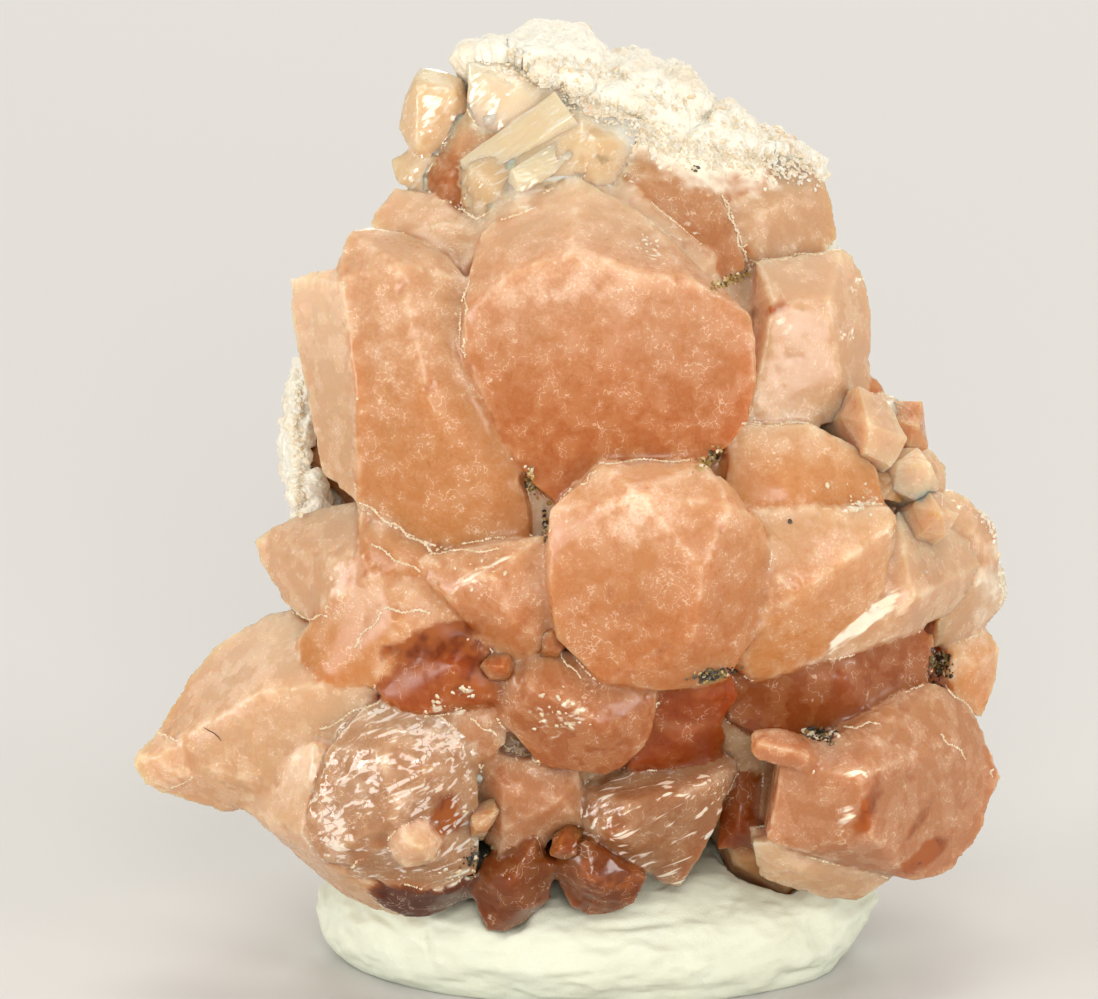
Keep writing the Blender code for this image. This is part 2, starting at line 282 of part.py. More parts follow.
# Hexagonal crystals round the sides and on the back, in true millimetres (x right, y back, z up):
# foot, tip, width across, spin in degrees, how far up the shoulder is
SIDE_CRYSTALS = (
    ((11.0, 2.0, 8.0), (21.8, 4.5, 11.5), 9.0, 12.0, 0.62),
    ((13.0, 2.0, 1.0), (25.2, 2.0, 3.2), 8.5, 40.0, 0.60),
    ((15.0, 3.0, -5.0), (28.8, 5.0, -3.6), 9.5, 5.0, 0.64),
    ((16.0, 3.0, -12.0), (30.5, 3.5, -9.5), 9.5, 25.0, 0.60),
    ((15.0, 1.0, -18.0), (29.0, -1.0, -17.0), 10.0, 33.0, 0.62),
    ((13.0, 4.0, -19.0), (23.0, 9.0, -20.5), 8.5, 10.0, 0.60),
    ((-6.0, 2.0, 12.0), (-15.0, 2.5, 14.5), 8.5, 20.0, 0.60),
    ((-8.0, 1.0, 4.0), (-17.5, -1.5, 3.0), 7.5, 45.0, 0.62),
    ((-8.0, 2.0, -5.0), (-19.5, 0.5, -5.5), 9.0, 8.0, 0.60),
    ((-8.0, 1.0, -13.0), (-22.5, 1.0, -13.0), 10.0, 28.0, 0.64),
    ((-8.0, 2.0, -18.0), (-19.5, 2.5, -19.5), 8.5, 15.0, 0.60),
    ((-6.0, 3.0, -20.0), (-12.5, 9.5, -21.5), 8.0, 37.0, 0.58),
    ((-3.0, 2.0, 20.0), (-7.5, 6.0, 24.5), 7.0, 22.0, 0.60),
    ((10.0, 2.0, 16.0), (17.0, 5.5, 19.5), 8.0, 18.0, 0.62),
    ((3.0, -4.0, -20.0), (4.5, -8.0, -27.0), 9.0, 30.0, 0.60),
    ((14.0, -4.0, -20.0), (17.0, -6.5, -27.0), 8.0, 0.0, 0.60),
    ((-8.0, -4.0, -20.0), (-10.0, -6.5, -26.5), 8.0, 14.0, 0.60),
    # a pocket of small crystals on the back, and a few more through the matrix
    ((-4.0, 5.0, -4.0), (-6.6, 16.0, -2.4), 5.6, 20.0, 0.78),
    ((-2.0, 5.0, -4.0), (-1.6, 17.4, -1.0), 5.0, 35.0, 0.80),
    ((1.0, 5.0, -6.0), (2.6, 16.8, -5.2), 5.8, 10.0, 0.78),
    ((-3.0, 5.0, -7.0), (-4.6, 16.4, -9.0), 6.0, 28.0, 0.76),
    ((0.0, 5.0, -8.0), (0.4, 16.2, -11.2), 5.0, 5.0, 0.78),
    ((12.0, 4.0, -13.0), (14.8, 16.4, -16.0), 7.4, 28.0, 0.76),
    ((5.0, 4.0, -18.0), (6.2, 17.0, -21.5), 6.4, 5.0, 0.76),
    ((13.0, 4.0, 5.0), (17.2, 14.6, 7.2), 6.0, 16.0, 0.76),
    ((4.0, 4.0, 20.0), (5.0, 15.0, 26.0), 6.4, 30.0, 0.74),
)

# Lumps of the matrix in true millimetres: centre, radii
MATRIX_LUMPS = (
    ((2.0, 9.0, 2.0), (17.0, 6.5, 21.0)),
    ((-1.0, 10.0, -13.0), (15.0, 6.5, 12.0)),
    ((13.0, 9.0, -8.0), (14.0, 6.0, 15.0)),
    ((4.0, 9.5, 16.0), (11.0, 6.0, 12.5)),
    ((-10.5, 7.0, 2.0), (7.0, 5.5, 12.0)),
    ((-17.2, 0.8, 6.6), (1.4, 3.6, 3.4)),
    ((-17.4, 1.2, 3.9), (1.5, 4.0, 3.0)),
    ((-17.0, 0.6, 0.8), (1.4, 3.8, 2.8)),
    ((-15.0, 4.5, 2.5), (3.4, 5.0, 6.0)),
    ((-16.6, -2.4, 0.9), (1.7, 3.4, 2.2)),
    ((0.4, 3.6, 30.6), (4.4, 4.4, 3.6)),
    ((-3.5, 3.8, 29.7), (3.3, 4.2, 3.1)),
    ((4.8, 3.8, 28.8), (4.2, 4.6, 2.8)),
    ((8.0, 3.8, 27.4), (3.6, 4.8, 3.2)),
    ((11.4, 3.8, 24.8), (3.8, 4.6, 3.0)),
    ((13.9, 4.4, 22.8), (3.9, 4.8, 3.1)),
    ((16.6, 5.0, 18.8), (3.5, 4.6, 4.2)),
    ((16.8, 6.0, 12.0), (4.6, 4.8, 6.6)),
    ((20.4, 6.5, 0.0), (5.4, 4.6, 6.2)),
    ((25.0, 4.6, -4.4), (4.4, 4.2, 3.8)),
    ((22.0, 6.6, -12.0), (6.4, 4.8, 7.6)),
    ((8.0, 13.0, -3.0), (9.0, 4.2, 9.0)),
    ((-6.0, 12.5, 8.0), (8.0, 4.2, 8.0)),
    ((10.0, 12.0, 11.0), (8.0, 4.2, 7.5)),
    ((-4.0, 12.0, -17.0), (9.0, 4.6, 7.0)),
)
LUMP_POINTS = 20
LUMP_ROUGHNESS = 0.15
GOLDEN_ANGLE = math.pi * (3.0 - math.sqrt(5.0))
# Hollows in the matrix: the pocket on the back, and pits
MATRIX_PITS = (
    ((-2.0, 18.4, -5.6), (7.6, 7.4, 8.0)),
    ((7.5, 17.8, 4.6), (4.4, 3.0, 3.4)),
    ((-8.0, 16.6, 12.6), (3.4, 2.8, 4.4)),
    ((13.0, 16.0, -8.0), (3.6, 3.0, 3.0)),
    ((1.5, 14.6, 21.5), (3.8, 3.0, 3.2)),
    ((-10.5, 15.0, -15.0), (3.2, 3.4, 3.6)),
)


def sheet_point(across, up, depth):
    """A point read on the front elevation, as a true position in metres."""
    height = (up - depth * math.sin(SHEET_TILT)) / math.cos(SHEET_TILT)
    return Vector((across, depth, height)) * MM


def hull_mesh(name, points, grow=0.0):
    """The convex body of some points, its faces moved outwards by a distance in metres."""
    mesh = bmesh.new()
    for point in points:
        mesh.verts.new(point)
    result = bmesh.ops.convex_hull(mesh, input=mesh.verts)
    leftover = {item for key in ("geom_interior", "geom_unused") for item in result[key]}
    bmesh.ops.delete(mesh, geom=[v for v in leftover if isinstance(v, bmesh.types.BMVert)], context="VERTS")
    bmesh.ops.recalc_face_normals(mesh, faces=mesh.faces)
    if grow:
        mesh.normal_update()
        moved = [v.co + v.normal * v.calc_shell_factor() * grow for v in mesh.verts]
        mesh.free()
        return hull_mesh(name, moved)
    data = bpy.data.meshes.new(name)
    mesh.to_mesh(data)
    mesh.free()
    return data


def crystal_points(root, taper, corners, rng):
    """A crystal's corners with their natural unevenness, and the smaller copy of them at its root."""
    front = [sheet_point(*corner) for corner in corners]
    shake = CORNER_JITTER * MM
    front = [p + Vector([rng.uniform(-shake, shake) for _ in range(3)]) for p in front]
    middle = sum(front, Vector()) / len(front)
    foot = sheet_point(*root)
    spread = [p - middle for p in front[::ROOT_STEP]]
    back = [foot + Vector((away.x, away.y * ROOT_FLATTENING, away.z)) * taper for away in spread]
    return front + back


def hexagonal_points(foot, tip, width, spin, shoulder, rng):
    """A six-sided quartz crystal from its foot to its tip, with uneven end faces."""
    foot = Vector(foot) * MM
    axis = Vector(tip) * MM - foot
    side = axis.orthogonal().normalized()
    other = axis.normalized().cross(side)
    points = []
    for step in range(6):
        angle = math.radians(spin + 60.0 * step)
        outward = (side * math.cos(angle) + other * math.sin(angle)) * (width * MM / 2.0)
        level = shoulder + (0.07 if step % 2 else -0.07) + rng.uniform(-0.04, 0.04)
        points.append(foot + outward)
        points.append(foot + axis * level + outward * rng.uniform(0.94, 1.0))
    chisel = side * (width * MM * 0.06)
    points.append(foot + axis + chisel)
    points.append(foot + axis * 0.97 - chisel)
    return points


def heart_points():
    """The body inside, which every crystal grows out of."""
    return [
        sheet_point(across * scale, up * scale, depth)
        for depth, scale in HEART_LEVELS
        for across, up in HEART_OUTLINE
    ]


def lump_points(centre, radii, rng):
    """A rough knob of matrix."""
    points = []
    for index in range(LUMP_POINTS):
        height = 1.0 - 2.0 * (index + 0.5) / LUMP_POINTS
        angle = index * GOLDEN_ANGLE
        reach = math.sqrt(1.0 - height * height)
        swell = 1.0 + rng.uniform(-LUMP_ROUGHNESS, LUMP_ROUGHNESS)
        spot = Vector((reach * math.cos(angle), reach * math.sin(angle), height)) * swell
        points.append(Vector([c + r * s for c, r, s in zip(centre, radii, spot)]) * MM)
    return points


def collection_of(name, bodies, grow=0.0):
    """One hidden guide object for each convex body."""
    group = bpy.data.collections.new(name)
    bpy.context.scene.collection.children.link(group)
    for index, points in enumerate(bodies):
        guide = bpy.data.objects.new(f"{name}_{index:02d}", hull_mesh(name, points, grow))
        guide.hide_render = True
        guide.display_type = "WIRE"
        group.objects.link(guide)
    return group


def combine(mesh, group, operation):
    """The mesh after an exact union with, or difference from, a collection's bodies, which then go."""
    holder = bpy.data.objects.new("holder", mesh)
    bpy.context.scene.collection.objects.link(holder)
    modifier = holder.modifiers.new("combine", "BOOLEAN")
    modifier.operation = operation
    modifier.operand_type = "COLLECTION"
    modifier.collection = group
    modifier.solver = "EXACT"
    evaluated = holder.evaluated_get(bpy.context.evaluated_depsgraph_get())
    result = bpy.data.meshes.new_from_object(evaluated)
    for used in (holder, *group.objects):
        bpy.data.objects.remove(used)
    bpy.data.collections.remove(group)
    return result


def largest_body(mesh):
    """Keep only the largest closed body: chips that a cut leaves behind and sealed hollows go."""
    work = bmesh.new()
    work.from_mesh(mesh)
    bmesh.ops.remove_doubles(work, verts=work.verts, dist=0.002 * MM)
    bmesh.ops.dissolve_limit(work, angle_limit=FLAT_ANGLE, verts=work.verts, edges=work.edges)
    bmesh.ops.triangulate(work, faces=work.faces)
    unseen = set(work.verts)
    bodies = []
    while unseen:
        stack = [unseen.pop()]
        body = set(stack)
        while stack:
            vert = stack.pop()
            for edge in vert.link_edges:
                other = edge.other_vert(vert)
                if other in unseen:
                    unseen.discard(other)
                    body.add(other)
                    stack.append(other)
        bodies.append(body)
    bodies.sort(key=len, reverse=True)
    rest = [vert for body in bodies[1:] for vert in body]
    bmesh.ops.delete(work, geom=rest, context="VERTS")
    work.to_mesh(mesh)
    work.free()
    return mesh


def add_piece(name, mesh, finish):
    """An object with its own material."""
    label, colour, roughness = finish
    material = bpy.data.materials.new(label)
    material.use_nodes = True
    shader = material.node_tree.nodes["Principled BSDF"]
    shader.inputs["Base Color"].default_value = (*colour, 1.0)
    shader.inputs["Roughness"].default_value = roughness
    mesh.materials.clear()
    mesh.materials.append(material)
    piece = bpy.data.objects.new(name, mesh)
    bpy.context.scene.collection.objects.link(piece)
    return piece


def putty_mesh():
    """A hand-pressed lump: a flat underside, sides that bulge at mid height, and a flattened top."""
    mesh = bmesh.new()
    loops = []
    for ring in range(PUTTY_RINGS):
        lift = PUTTY_LOW_ANGLE + (PUTTY_HIGH_ANGLE - PUTTY_LOW_ANGLE) * ring / (PUTTY_RINGS - 1)
        if lift < 0.0:
            sink = math.sin(lift) / math.sin(PUTTY_LOW_ANGLE)
            height = PUTTY_BULGE * (1.0 - sink)
            reach = 1.0 - PUTTY_UNDERCUT * sink * sink
        else:
            height = PUTTY_BULGE + (PUTTY_HEIGHT - PUTTY_BULGE) * math.sin(lift)
            reach = math.cos(lift) ** PUTTY_SHOULDER
        loop = []
        for step in range(PUTTY_SIDES):
            angle = 2.0 * math.pi * step / PUTTY_SIDES
            wobble = 1.0 + sum(deep * math.sin(many * angle + 2.0 * lift) for many, deep in PUTTY_WAVES)
            x = PUTTY_CENTRE[0] + PUTTY_WIDTH / 2.0 * reach * wobble * math.cos(angle)
            y = PUTTY_CENTRE[1] + PUTTY_DEPTH / 2.0 * reach * wobble * math.sin(angle)
            loop.append(mesh.verts.new(Vector((x, y, PUTTY_UNDERSIDE + height)) * MM))
        loops.append(loop)
    for low, high in zip(loops, loops[1:]):
        for step in range(PUTTY_SIDES):
            after = (step + 1) % PUTTY_SIDES
            mesh.faces.new((low[step], low[after], high[after], high[step]))
    mesh.faces.new(list(reversed(loops[0])))
    mesh.faces.new(loops[-1])
    bmesh.ops.recalc_face_normals(mesh, faces=mesh.faces)
    data = bpy.data.meshes.new("putty_base")
    mesh.to_mesh(data)
    mesh.free()
    return data


def stand_on_origin(pieces):
    """Move the meshes so that the origin is the middle of the specimen's underside."""
    corners = [Vector(corner) for piece in pieces for corner in piece.bound_box]
    low = Vector([min(values) for values in zip(*corners)])
    high = Vector([max(values) for values in zip(*corners)])
    middle = (low + high) / 2.0
    for piece in pieces:
        piece.data.transform(Matrix.Translation((-middle.x, -middle.y, -low.z)))


def build():
    """Model the three pieces and stand them on the origin."""
    rng = random.Random(11)
    bodies = [crystal_points(root, taper, corners, rng) for _, root, taper, corners in CRYSTALS]
    bodies += [hexagonal_points(*crystal, rng) for crystal in SIDE_CRYSTALS]
    bodies += [[sheet_point(*corner) for corner in swell] for swell in (HEART_SWELL, HEART_CROWN)]
    heart = heart_points()
    lumps = [lump_points(centre, radii, rng) for centre, radii in MATRIX_LUMPS]
    pits = [lump_points(centre, radii, rng) for centre, radii in MATRIX_PITS]
    gap = CRYSTAL_GAP * MM

    crystals = combine(hull_mesh("heart", heart), collection_of("crystal", bodies), "UNION")
    matrix = combine(hull_mesh("lump", lumps[0]), collection_of("lump", lumps[1:]), "UNION")
    matrix = combine(matrix, collection_of("pit", pits), "DIFFERENCE")
    matrix = combine(matrix, collection_of("crystal_space", bodies + [heart], gap), "DIFFERENCE")
    putty = combine(putty_mesh(), collection_of("pressed", bodies + [heart] + lumps, gap), "DIFFERENCE")

    pieces = [
        add_piece("amethyst_crystals", largest_body(crystals), AMETHYST),
        add_piece("matrix", largest_body(matrix), MATRIX),
        add_piece("putty_base", largest_body(putty), PUTTY),
    ]
    stand_on_origin(pieces)


for old in list(bpy.data.objects):
    bpy.data.objects.remove(old)
build()
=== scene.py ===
"""Looks of a pink amethyst specimen: quartz crystals on a white matrix, pressed into a lump of putty."""

import math
import random
from itertools import product

import bmesh
import bpy
import numpy as np
from mathutils import Matrix, Vector
from mathutils.bvhtree import BVHTree
from mathutils.kdtree import KDTree


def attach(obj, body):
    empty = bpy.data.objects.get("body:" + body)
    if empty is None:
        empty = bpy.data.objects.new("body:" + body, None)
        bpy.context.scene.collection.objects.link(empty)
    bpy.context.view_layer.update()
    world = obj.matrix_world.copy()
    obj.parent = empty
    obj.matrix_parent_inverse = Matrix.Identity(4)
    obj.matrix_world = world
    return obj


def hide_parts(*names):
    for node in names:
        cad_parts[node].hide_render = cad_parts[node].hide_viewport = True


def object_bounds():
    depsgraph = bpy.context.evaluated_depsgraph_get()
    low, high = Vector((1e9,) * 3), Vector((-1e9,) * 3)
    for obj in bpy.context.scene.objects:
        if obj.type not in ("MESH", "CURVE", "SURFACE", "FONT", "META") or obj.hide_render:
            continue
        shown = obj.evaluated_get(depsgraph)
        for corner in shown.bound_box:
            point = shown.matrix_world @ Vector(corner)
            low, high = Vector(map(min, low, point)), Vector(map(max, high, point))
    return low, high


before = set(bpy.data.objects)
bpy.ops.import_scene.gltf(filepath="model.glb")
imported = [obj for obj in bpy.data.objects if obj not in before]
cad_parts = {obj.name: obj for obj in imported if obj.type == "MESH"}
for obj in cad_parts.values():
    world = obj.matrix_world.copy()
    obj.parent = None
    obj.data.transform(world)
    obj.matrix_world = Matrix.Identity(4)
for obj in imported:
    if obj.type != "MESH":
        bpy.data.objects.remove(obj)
cad_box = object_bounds()

# ----------------------------------------------------------
# The matrix: the lump of white, sugary massive quartz that the crystals grew on.  It shows as the rough crust
# along the top and the left, and as the whole back.  It is one with the crystals' roots.
MM = 0.001
MATRIX_VOXEL = 0.26 * MM
MATRIX_TRIANGLES = 170000
# the size and height of the matrix's relief, in millimetres
LUMP_SIZE, LUMP_HEIGHT = 5.0, 0.30
CRUMB_SIZE, CRUMB_HEIGHT = 1.3, 0.60
FINE_SIZE, FINE_HEIGHT = 0.8, 0.20
SMOOTH_FACTOR = 0.5
WEIGHT_STEPS = 12
ROOM_REACH = 0.8 * MM
MATRIX_WHITE = (0.90, 0.86, 0.74, 1.0)
MATRIX_CREAM = (0.85, 0.75, 0.58, 1.0)
MATRIX_TAN = (0.62, 0.34, 0.16, 1.0)
MATRIX_DARK = (0.16, 0.12, 0.09, 1.0)
FRONT_TILT = math.radians(15.0)       # the front elevation leans back, square to the line of sight
FRONT_MIDDLE = Vector((-1.5202, 2.4740, 33.1)) * MM   # the middle of the front elevation, in the row frame
# the lip of crust that runs out over the crystals: its line on the front elevation, its half width and height
LIP = ((-5.2, 30.8), (-1.0, 30.9), (0.2, 29.3), (3.2, 27.6), (5.2, 26.9), (7.6, 25.3), (11.3, 24.4),
       (15.5, 23.9), (18.5, 23.0))
LIP_REACH = 1.1
LIP_HEIGHT = 1.1


def placed(name, data):
    """A new object in the scene."""
    thing = bpy.data.objects.new(name, data)
    bpy.context.scene.collection.objects.link(thing)
    return thing


def evaluated_mesh(mesh, kind, weights=None, **settings):
    """The mesh after one modifier, which can act on each vertex by its own weight."""
    holder = placed("holder", mesh)
    modifier = holder.modifiers.new(kind.lower(), kind)
    for key, value in settings.items():
        setattr(modifier, key, value)
    if weights is not None:
        group = holder.vertex_groups.new(name="weights")
        steps = np.round(weights * WEIGHT_STEPS).astype(int)
        for step in range(1, WEIGHT_STEPS + 1):
            group.add(np.flatnonzero(steps == step).tolist(), step / WEIGHT_STEPS, "REPLACE")
        modifier.vertex_group = group.name
    evaluated = holder.evaluated_get(bpy.context.evaluated_depsgraph_get())
    result = bpy.data.meshes.new_from_object(evaluated)
    bpy.data.objects.remove(holder)
    return result


def merged_copy(node):
    """A CAD node's mesh with its loose triangles joined."""
    work = bmesh.new()
    work.from_mesh(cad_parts[node].data)
    bmesh.ops.remove_doubles(work, verts=work.verts, dist=0.001 * MM)
    return work


def fine_copy(node, voxel, relax):
    """A CAD node's mesh rebuilt from even small faces, its edges slightly rounded."""
    work = merged_copy(node)
    mesh = bpy.data.meshes.new(node + "_fine")
    work.to_mesh(mesh)
    work.free()
    fine = evaluated_mesh(mesh, "REMESH", mode="VOXEL", voxel_size=voxel)
    return evaluated_mesh(fine, "SMOOTH", factor=SMOOTH_FACTOR, iterations=relax)


def points_of(mesh):
    """Every vertex's place, and the outward direction there."""
    places = np.zeros(len(mesh.vertices) * 3, np.float32)
    mesh.vertices.foreach_get("co", places)
    outward = np.zeros(len(mesh.vertices) * 3, np.float32)
    mesh.vertex_normals.foreach_get("vector", outward)
    return places.reshape(-1, 3).astype(float), outward.reshape(-1, 3).astype(float)


def put_points(mesh, places):
    """Move the vertices there, and no further than the CAD model's box."""
    low, high = (np.array(corner) for corner in cad_box)
    mesh.vertices.foreach_set("co", np.clip(places, low, high).astype(np.float32).ravel())
    mesh.update()


def room(places):
    """0 at the sides of the CAD model's box, and 1 from a little way inside it."""
    low, high = (np.array(corner) for corner in cad_box)
    return np.clip(np.minimum(places - low, high - places).min(axis=1) / ROOM_REACH, 0.0, 1.0)


def chance(cells, seed):
    """An even random number from 0 to 1 for each whole-number cell."""
    mixed = cells[:, 0] * 73856093 ^ cells[:, 1] * 19349663 ^ cells[:, 2] * 83492791 ^ (seed + 1) * 2654435
    mixed = (mixed ^ (mixed >> 13)) * 1274126177
    return ((mixed ^ (mixed >> 16)) & 0xFFFF) / 65535.0


def grain(places, size, seed, octaves=3):
    """Soft fractal unevenness from about -1 to 1, its largest lumps that size."""
    total = np.zeros(len(places))
    strength = 1.0
    for octave in range(octaves):
        spots = places / size * 2.0 ** octave + 17.3 * octave
        cells = np.floor(spots).astype(np.int64)
        part = spots - cells
        part = part * part * (3.0 - 2.0 * part)
        for corner in product((0, 1), repeat=3):
            share = np.prod(np.where(corner, part, 1.0 - part), axis=1)
            total += strength * share * (2.0 * chance(cells + corner, seed + octave) - 1.0)
        strength *= 0.5
    return total


def knobs(places, size, seed):
    """Close-set rounded knobs, from 0 between them to 1 on top."""
    spots = places / size
    cells = np.floor(spots).astype(np.int64)
    nearest = np.full(len(places), 9.0)
    second = np.full(len(places), 9.0)
    for corner in product((-1, 0, 1), repeat=3):
        cell = cells + corner
        middle = cell + np.stack([chance(cell, seed + axis) for axis in range(3)], axis=1)
        distance = np.linalg.norm(spots - middle, axis=1)
        second = np.minimum(second, np.maximum(nearest, distance))
        nearest = np.minimum(nearest, distance)
    return np.clip(second - nearest, 0.0, 1.0)


def elevation(places):
    """Where each point stands on the front elevation: across, up and depth, in millimetres."""
    away = (places - np.array(FRONT_MIDDLE)) / MM
    up = away[:, 2] * math.cos(FRONT_TILT) + away[:, 1] * math.sin(FRONT_TILT)
    return away[:, 0], up, away[:, 1]


def turned(across, up, middle, height, turn):
    """How far along and athwart each point lies from a middle, on axes turned by that many degrees."""
    angle = math.radians(turn)
    along = (across - middle) * math.cos(angle) + (up - height) * math.sin(angle)
    return along, (up - height) * math.cos(angle) - (across - middle) * math.sin(angle)


def line_distance(across, up, line):
    """How far each point lies from a bent line on the front elevation."""
    nearest = np.full(len(across), np.inf)
    for (start_across, start_up), (end_across, end_up) in zip(line, line[1:]):
        run, climb = end_across - start_across, end_up - start_up
        beyond, above = across - start_across, up - start_up
        share = np.clip((beyond * run + above * climb) / (run * run + climb * climb), 0.0, 1.0)
        nearest = np.minimum(nearest, np.hypot(beyond - share * run, above - share * climb))
    return nearest


def thinned(mesh, triangles):
    """The mesh with no more than that many triangles, fewest where it is flat."""
    faces = sum(len(polygon.vertices) - 2 for polygon in mesh.polygons)
    return evaluated_mesh(mesh, "DECIMATE", ratio=triangles / faces) if faces > triangles else mesh


def finished(name, mesh, triangles, material):
    """The finished piece, shaded smooth and riding on the specimen."""
    mesh = thinned(mesh, triangles)
    mesh.name = name
    mesh.shade_smooth()
    mesh.materials.clear()
    mesh.materials.append(material)
    piece = placed(name, mesh)
    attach(piece, "root")
    return piece


class Sheet:
    """A material, or an effect that several materials share, laid out one node after another."""

    def __init__(self, name, effect=False):
        if effect:
            self.tree = bpy.data.node_groups.new(name, "ShaderNodeTree")
            self.given = self.node("NodeGroupInput")
            self.result = self.node("NodeGroupOutput")
        else:
            self.material = bpy.data.materials.new(name)
            self.material.use_nodes = True
            self.tree = self.material.node_tree
            self.shader = self.tree.nodes["Principled BSDF"]
        self.place = self.node("ShaderNodeTexCoord").outputs["Object"]

    def take(self, name, usual):
        """A named input of an effect: a number, a turn or a colour."""
        kind = "Float" if isinstance(usual, float) else "Color" if len(usual) == 4 else "Vector"
        socket = self.tree.interface.new_socket(name, in_out="INPUT", socket_type="NodeSocket" + kind)
        socket.default_value = usual
        return self.given.outputs[name]

    def give(self, name, source):
        """A named output of an effect."""
        kind = "NodeSocketColor" if source.type == "RGBA" else "NodeSocketFloat"
        self.tree.interface.new_socket(name, in_out="OUTPUT", socket_type=kind)
        self.tree.links.new(source, self.result.inputs[name])

    def effect(self, tree, **values):
        """A shared effect, placed with this material's own values."""
        return self.feed(self.node("ShaderNodeGroup", node_tree=tree), **values).outputs

    def node(self, kind, **settings):
        """A new node, its settings made."""
        made = self.tree.nodes.new(kind)
        made.location = (-220.0 * len(self.tree.nodes), 0.0)
        for key, value in settings.items():
            setattr(made, key, value)
        return made

    def feed(self, made, **values):
        """The node, each input that is named, or numbered as in _0, linked or set."""
        for key, value in values.items():
            socket = made.inputs[int(key[1:])] if key[0] == "_" else made.inputs[key.replace("_", " ")]
            if isinstance(value, bpy.types.NodeSocket):
                self.tree.links.new(value, socket)
            else:
                socket.default_value = value
        return made

    def noise(self, size, detail=3.0, roughness=0.55, distortion=0.0, place=None):
        made = self.node("ShaderNodeTexNoise")
        self.feed(made, Vector=place or self.place, Scale=1.0 / size, Detail=detail, Roughness=roughness,
                  Distortion=distortion)
        return made.outputs["Fac"]

    def cells(self, size):
        made = self.node("ShaderNodeTexVoronoi")
        self.feed(made, Vector=self.place, Scale=1.0 / size)
        return made.outputs["Distance"]

    def ramp(self, value, low, high, start=0.0, end=1.0):
        made = self.node("ShaderNodeMapRange", interpolation_type="SMOOTHSTEP")
        self.feed(made, Value=value, From_Min=low, From_Max=high, To_Min=start, To_Max=end)
        return made.outputs["Result"]

    def maths(self, kind, first, second):
        made = self.node("ShaderNodeMath", operation=kind)
        return self.feed(made, _0=first, _1=second).outputs[0]

    def times(self, first, second):
        return self.maths("MULTIPLY", first, second)

    def channels(self, colour):
        split = self.node("ShaderNodeSeparateColor")
        return self.feed(split, Color=colour).outputs

    def mix(self, factor, first, second, blend="MIX"):
        made = self.node("ShaderNodeMix", data_type="RGBA", blend_type=blend)
        return self.feed(made, _0=factor, _6=first, _7=second).outputs[2]

    def attribute(self, name):
        return self.node("ShaderNodeAttribute", attribute_name=name)

    def bump(self, height, distance, strength=1.0, after=None):
        made = self.node("ShaderNodeBump")
        self.feed(made, Height=height, Distance=distance, Strength=strength)
        if after:
            self.feed(made, Normal=after)
        return made.outputs["Normal"]


def crumbly_effect():
    """The uneven tone of crumbly quartz: small patches that lean to a second tone."""
    sheet = Sheet("crumbly_tone", effect=True)
    tone = sheet.take("Tone", (0.9, 0.9, 0.9, 1.0))
    shade = sheet.take("Shade", (0.6, 0.6, 0.6, 1.0))
    fineness = sheet.take("Fineness", 1000.0)
    amount = sheet.take("Amount", 1.0)
    patches = sheet.node("ShaderNodeTexNoise")
    patches = sheet.feed(patches, Vector=sheet.place, Scale=fineness, Detail=2.0).outputs["Fac"]
    share = sheet.times(sheet.ramp(patches, 0.35, 0.65), amount)
    sheet.give("Color", sheet.mix(share, tone, shade))
    sheet.give("Height", patches)
    return sheet.tree


CRUMBLY = crumbly_effect()


def matrix_material():
    """White and cream sugary quartz, tan where iron has stained it, with a few dark grains."""
    sheet = Sheet("sugary_quartz")
    patches = sheet.noise(4.5 * MM, detail=5.0, roughness=0.62, distortion=0.6)
    stains = sheet.noise(6.5 * MM, detail=6.0, roughness=0.66, distortion=1.2)
    flecks = sheet.cells(0.55 * MM)
    sugar = sheet.cells(0.34 * MM)
    colour = sheet.mix(sheet.ramp(patches, 0.46, 0.70), MATRIX_WHITE, MATRIX_CREAM)
    colour = sheet.mix(sheet.ramp(stains, 0.60, 0.74, 0.0, 0.75), colour, MATRIX_TAN)
    colour = sheet.mix(sheet.ramp(flecks, 0.02, 0.10, 0.35, 0.0), colour, MATRIX_DARK)
    crumbly = sheet.effect(CRUMBLY, Tone=colour, Shade=MATRIX_CREAM, Fineness=1.0 / (0.22 * MM), Amount=0.12)
    relief = sheet.bump(sugar, 0.14 * MM, 0.8)
    relief = sheet.bump(crumbly["Height"], 0.05 * MM, 0.6, after=relief)
    sheet.feed(sheet.shader, Base_Color=crumbly["Color"], Roughness=0.62, Normal=relief,
               Subsurface_Weight=0.25, Subsurface_Scale=0.8 * MM, Subsurface_Radius=(1.0, 0.7, 0.5))
    return sheet.material


matrix_mesh = fine_copy("matrix", MATRIX_VOXEL, 2)
places, outward = points_of(matrix_mesh)
lumps = grain(places, LUMP_SIZE * MM, 1)
crumbs = knobs(places + 0.3 * MM * grain(places, 1.5 * MM, 2)[:, None], CRUMB_SIZE * MM, 3)
fine = grain(places, FINE_SIZE * MM, 4)
across, up, depth = elevation(places)
lip = LIP_HEIGHT * np.exp(-(line_distance(across, up, LIP) / LIP_REACH) ** 2) * (outward[:, 1] < 0.3)
swell = LUMP_HEIGHT * lumps - 0.02 + CRUMB_HEIGHT * crumbs + FINE_HEIGHT * fine + lip
swell = swell * room(places) * MM
put_points(matrix_mesh, places + outward * swell[:, None])
matrix = finished("matrix_crust", matrix_mesh, MATRIX_TRIANGLES, matrix_material())
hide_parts("matrix")

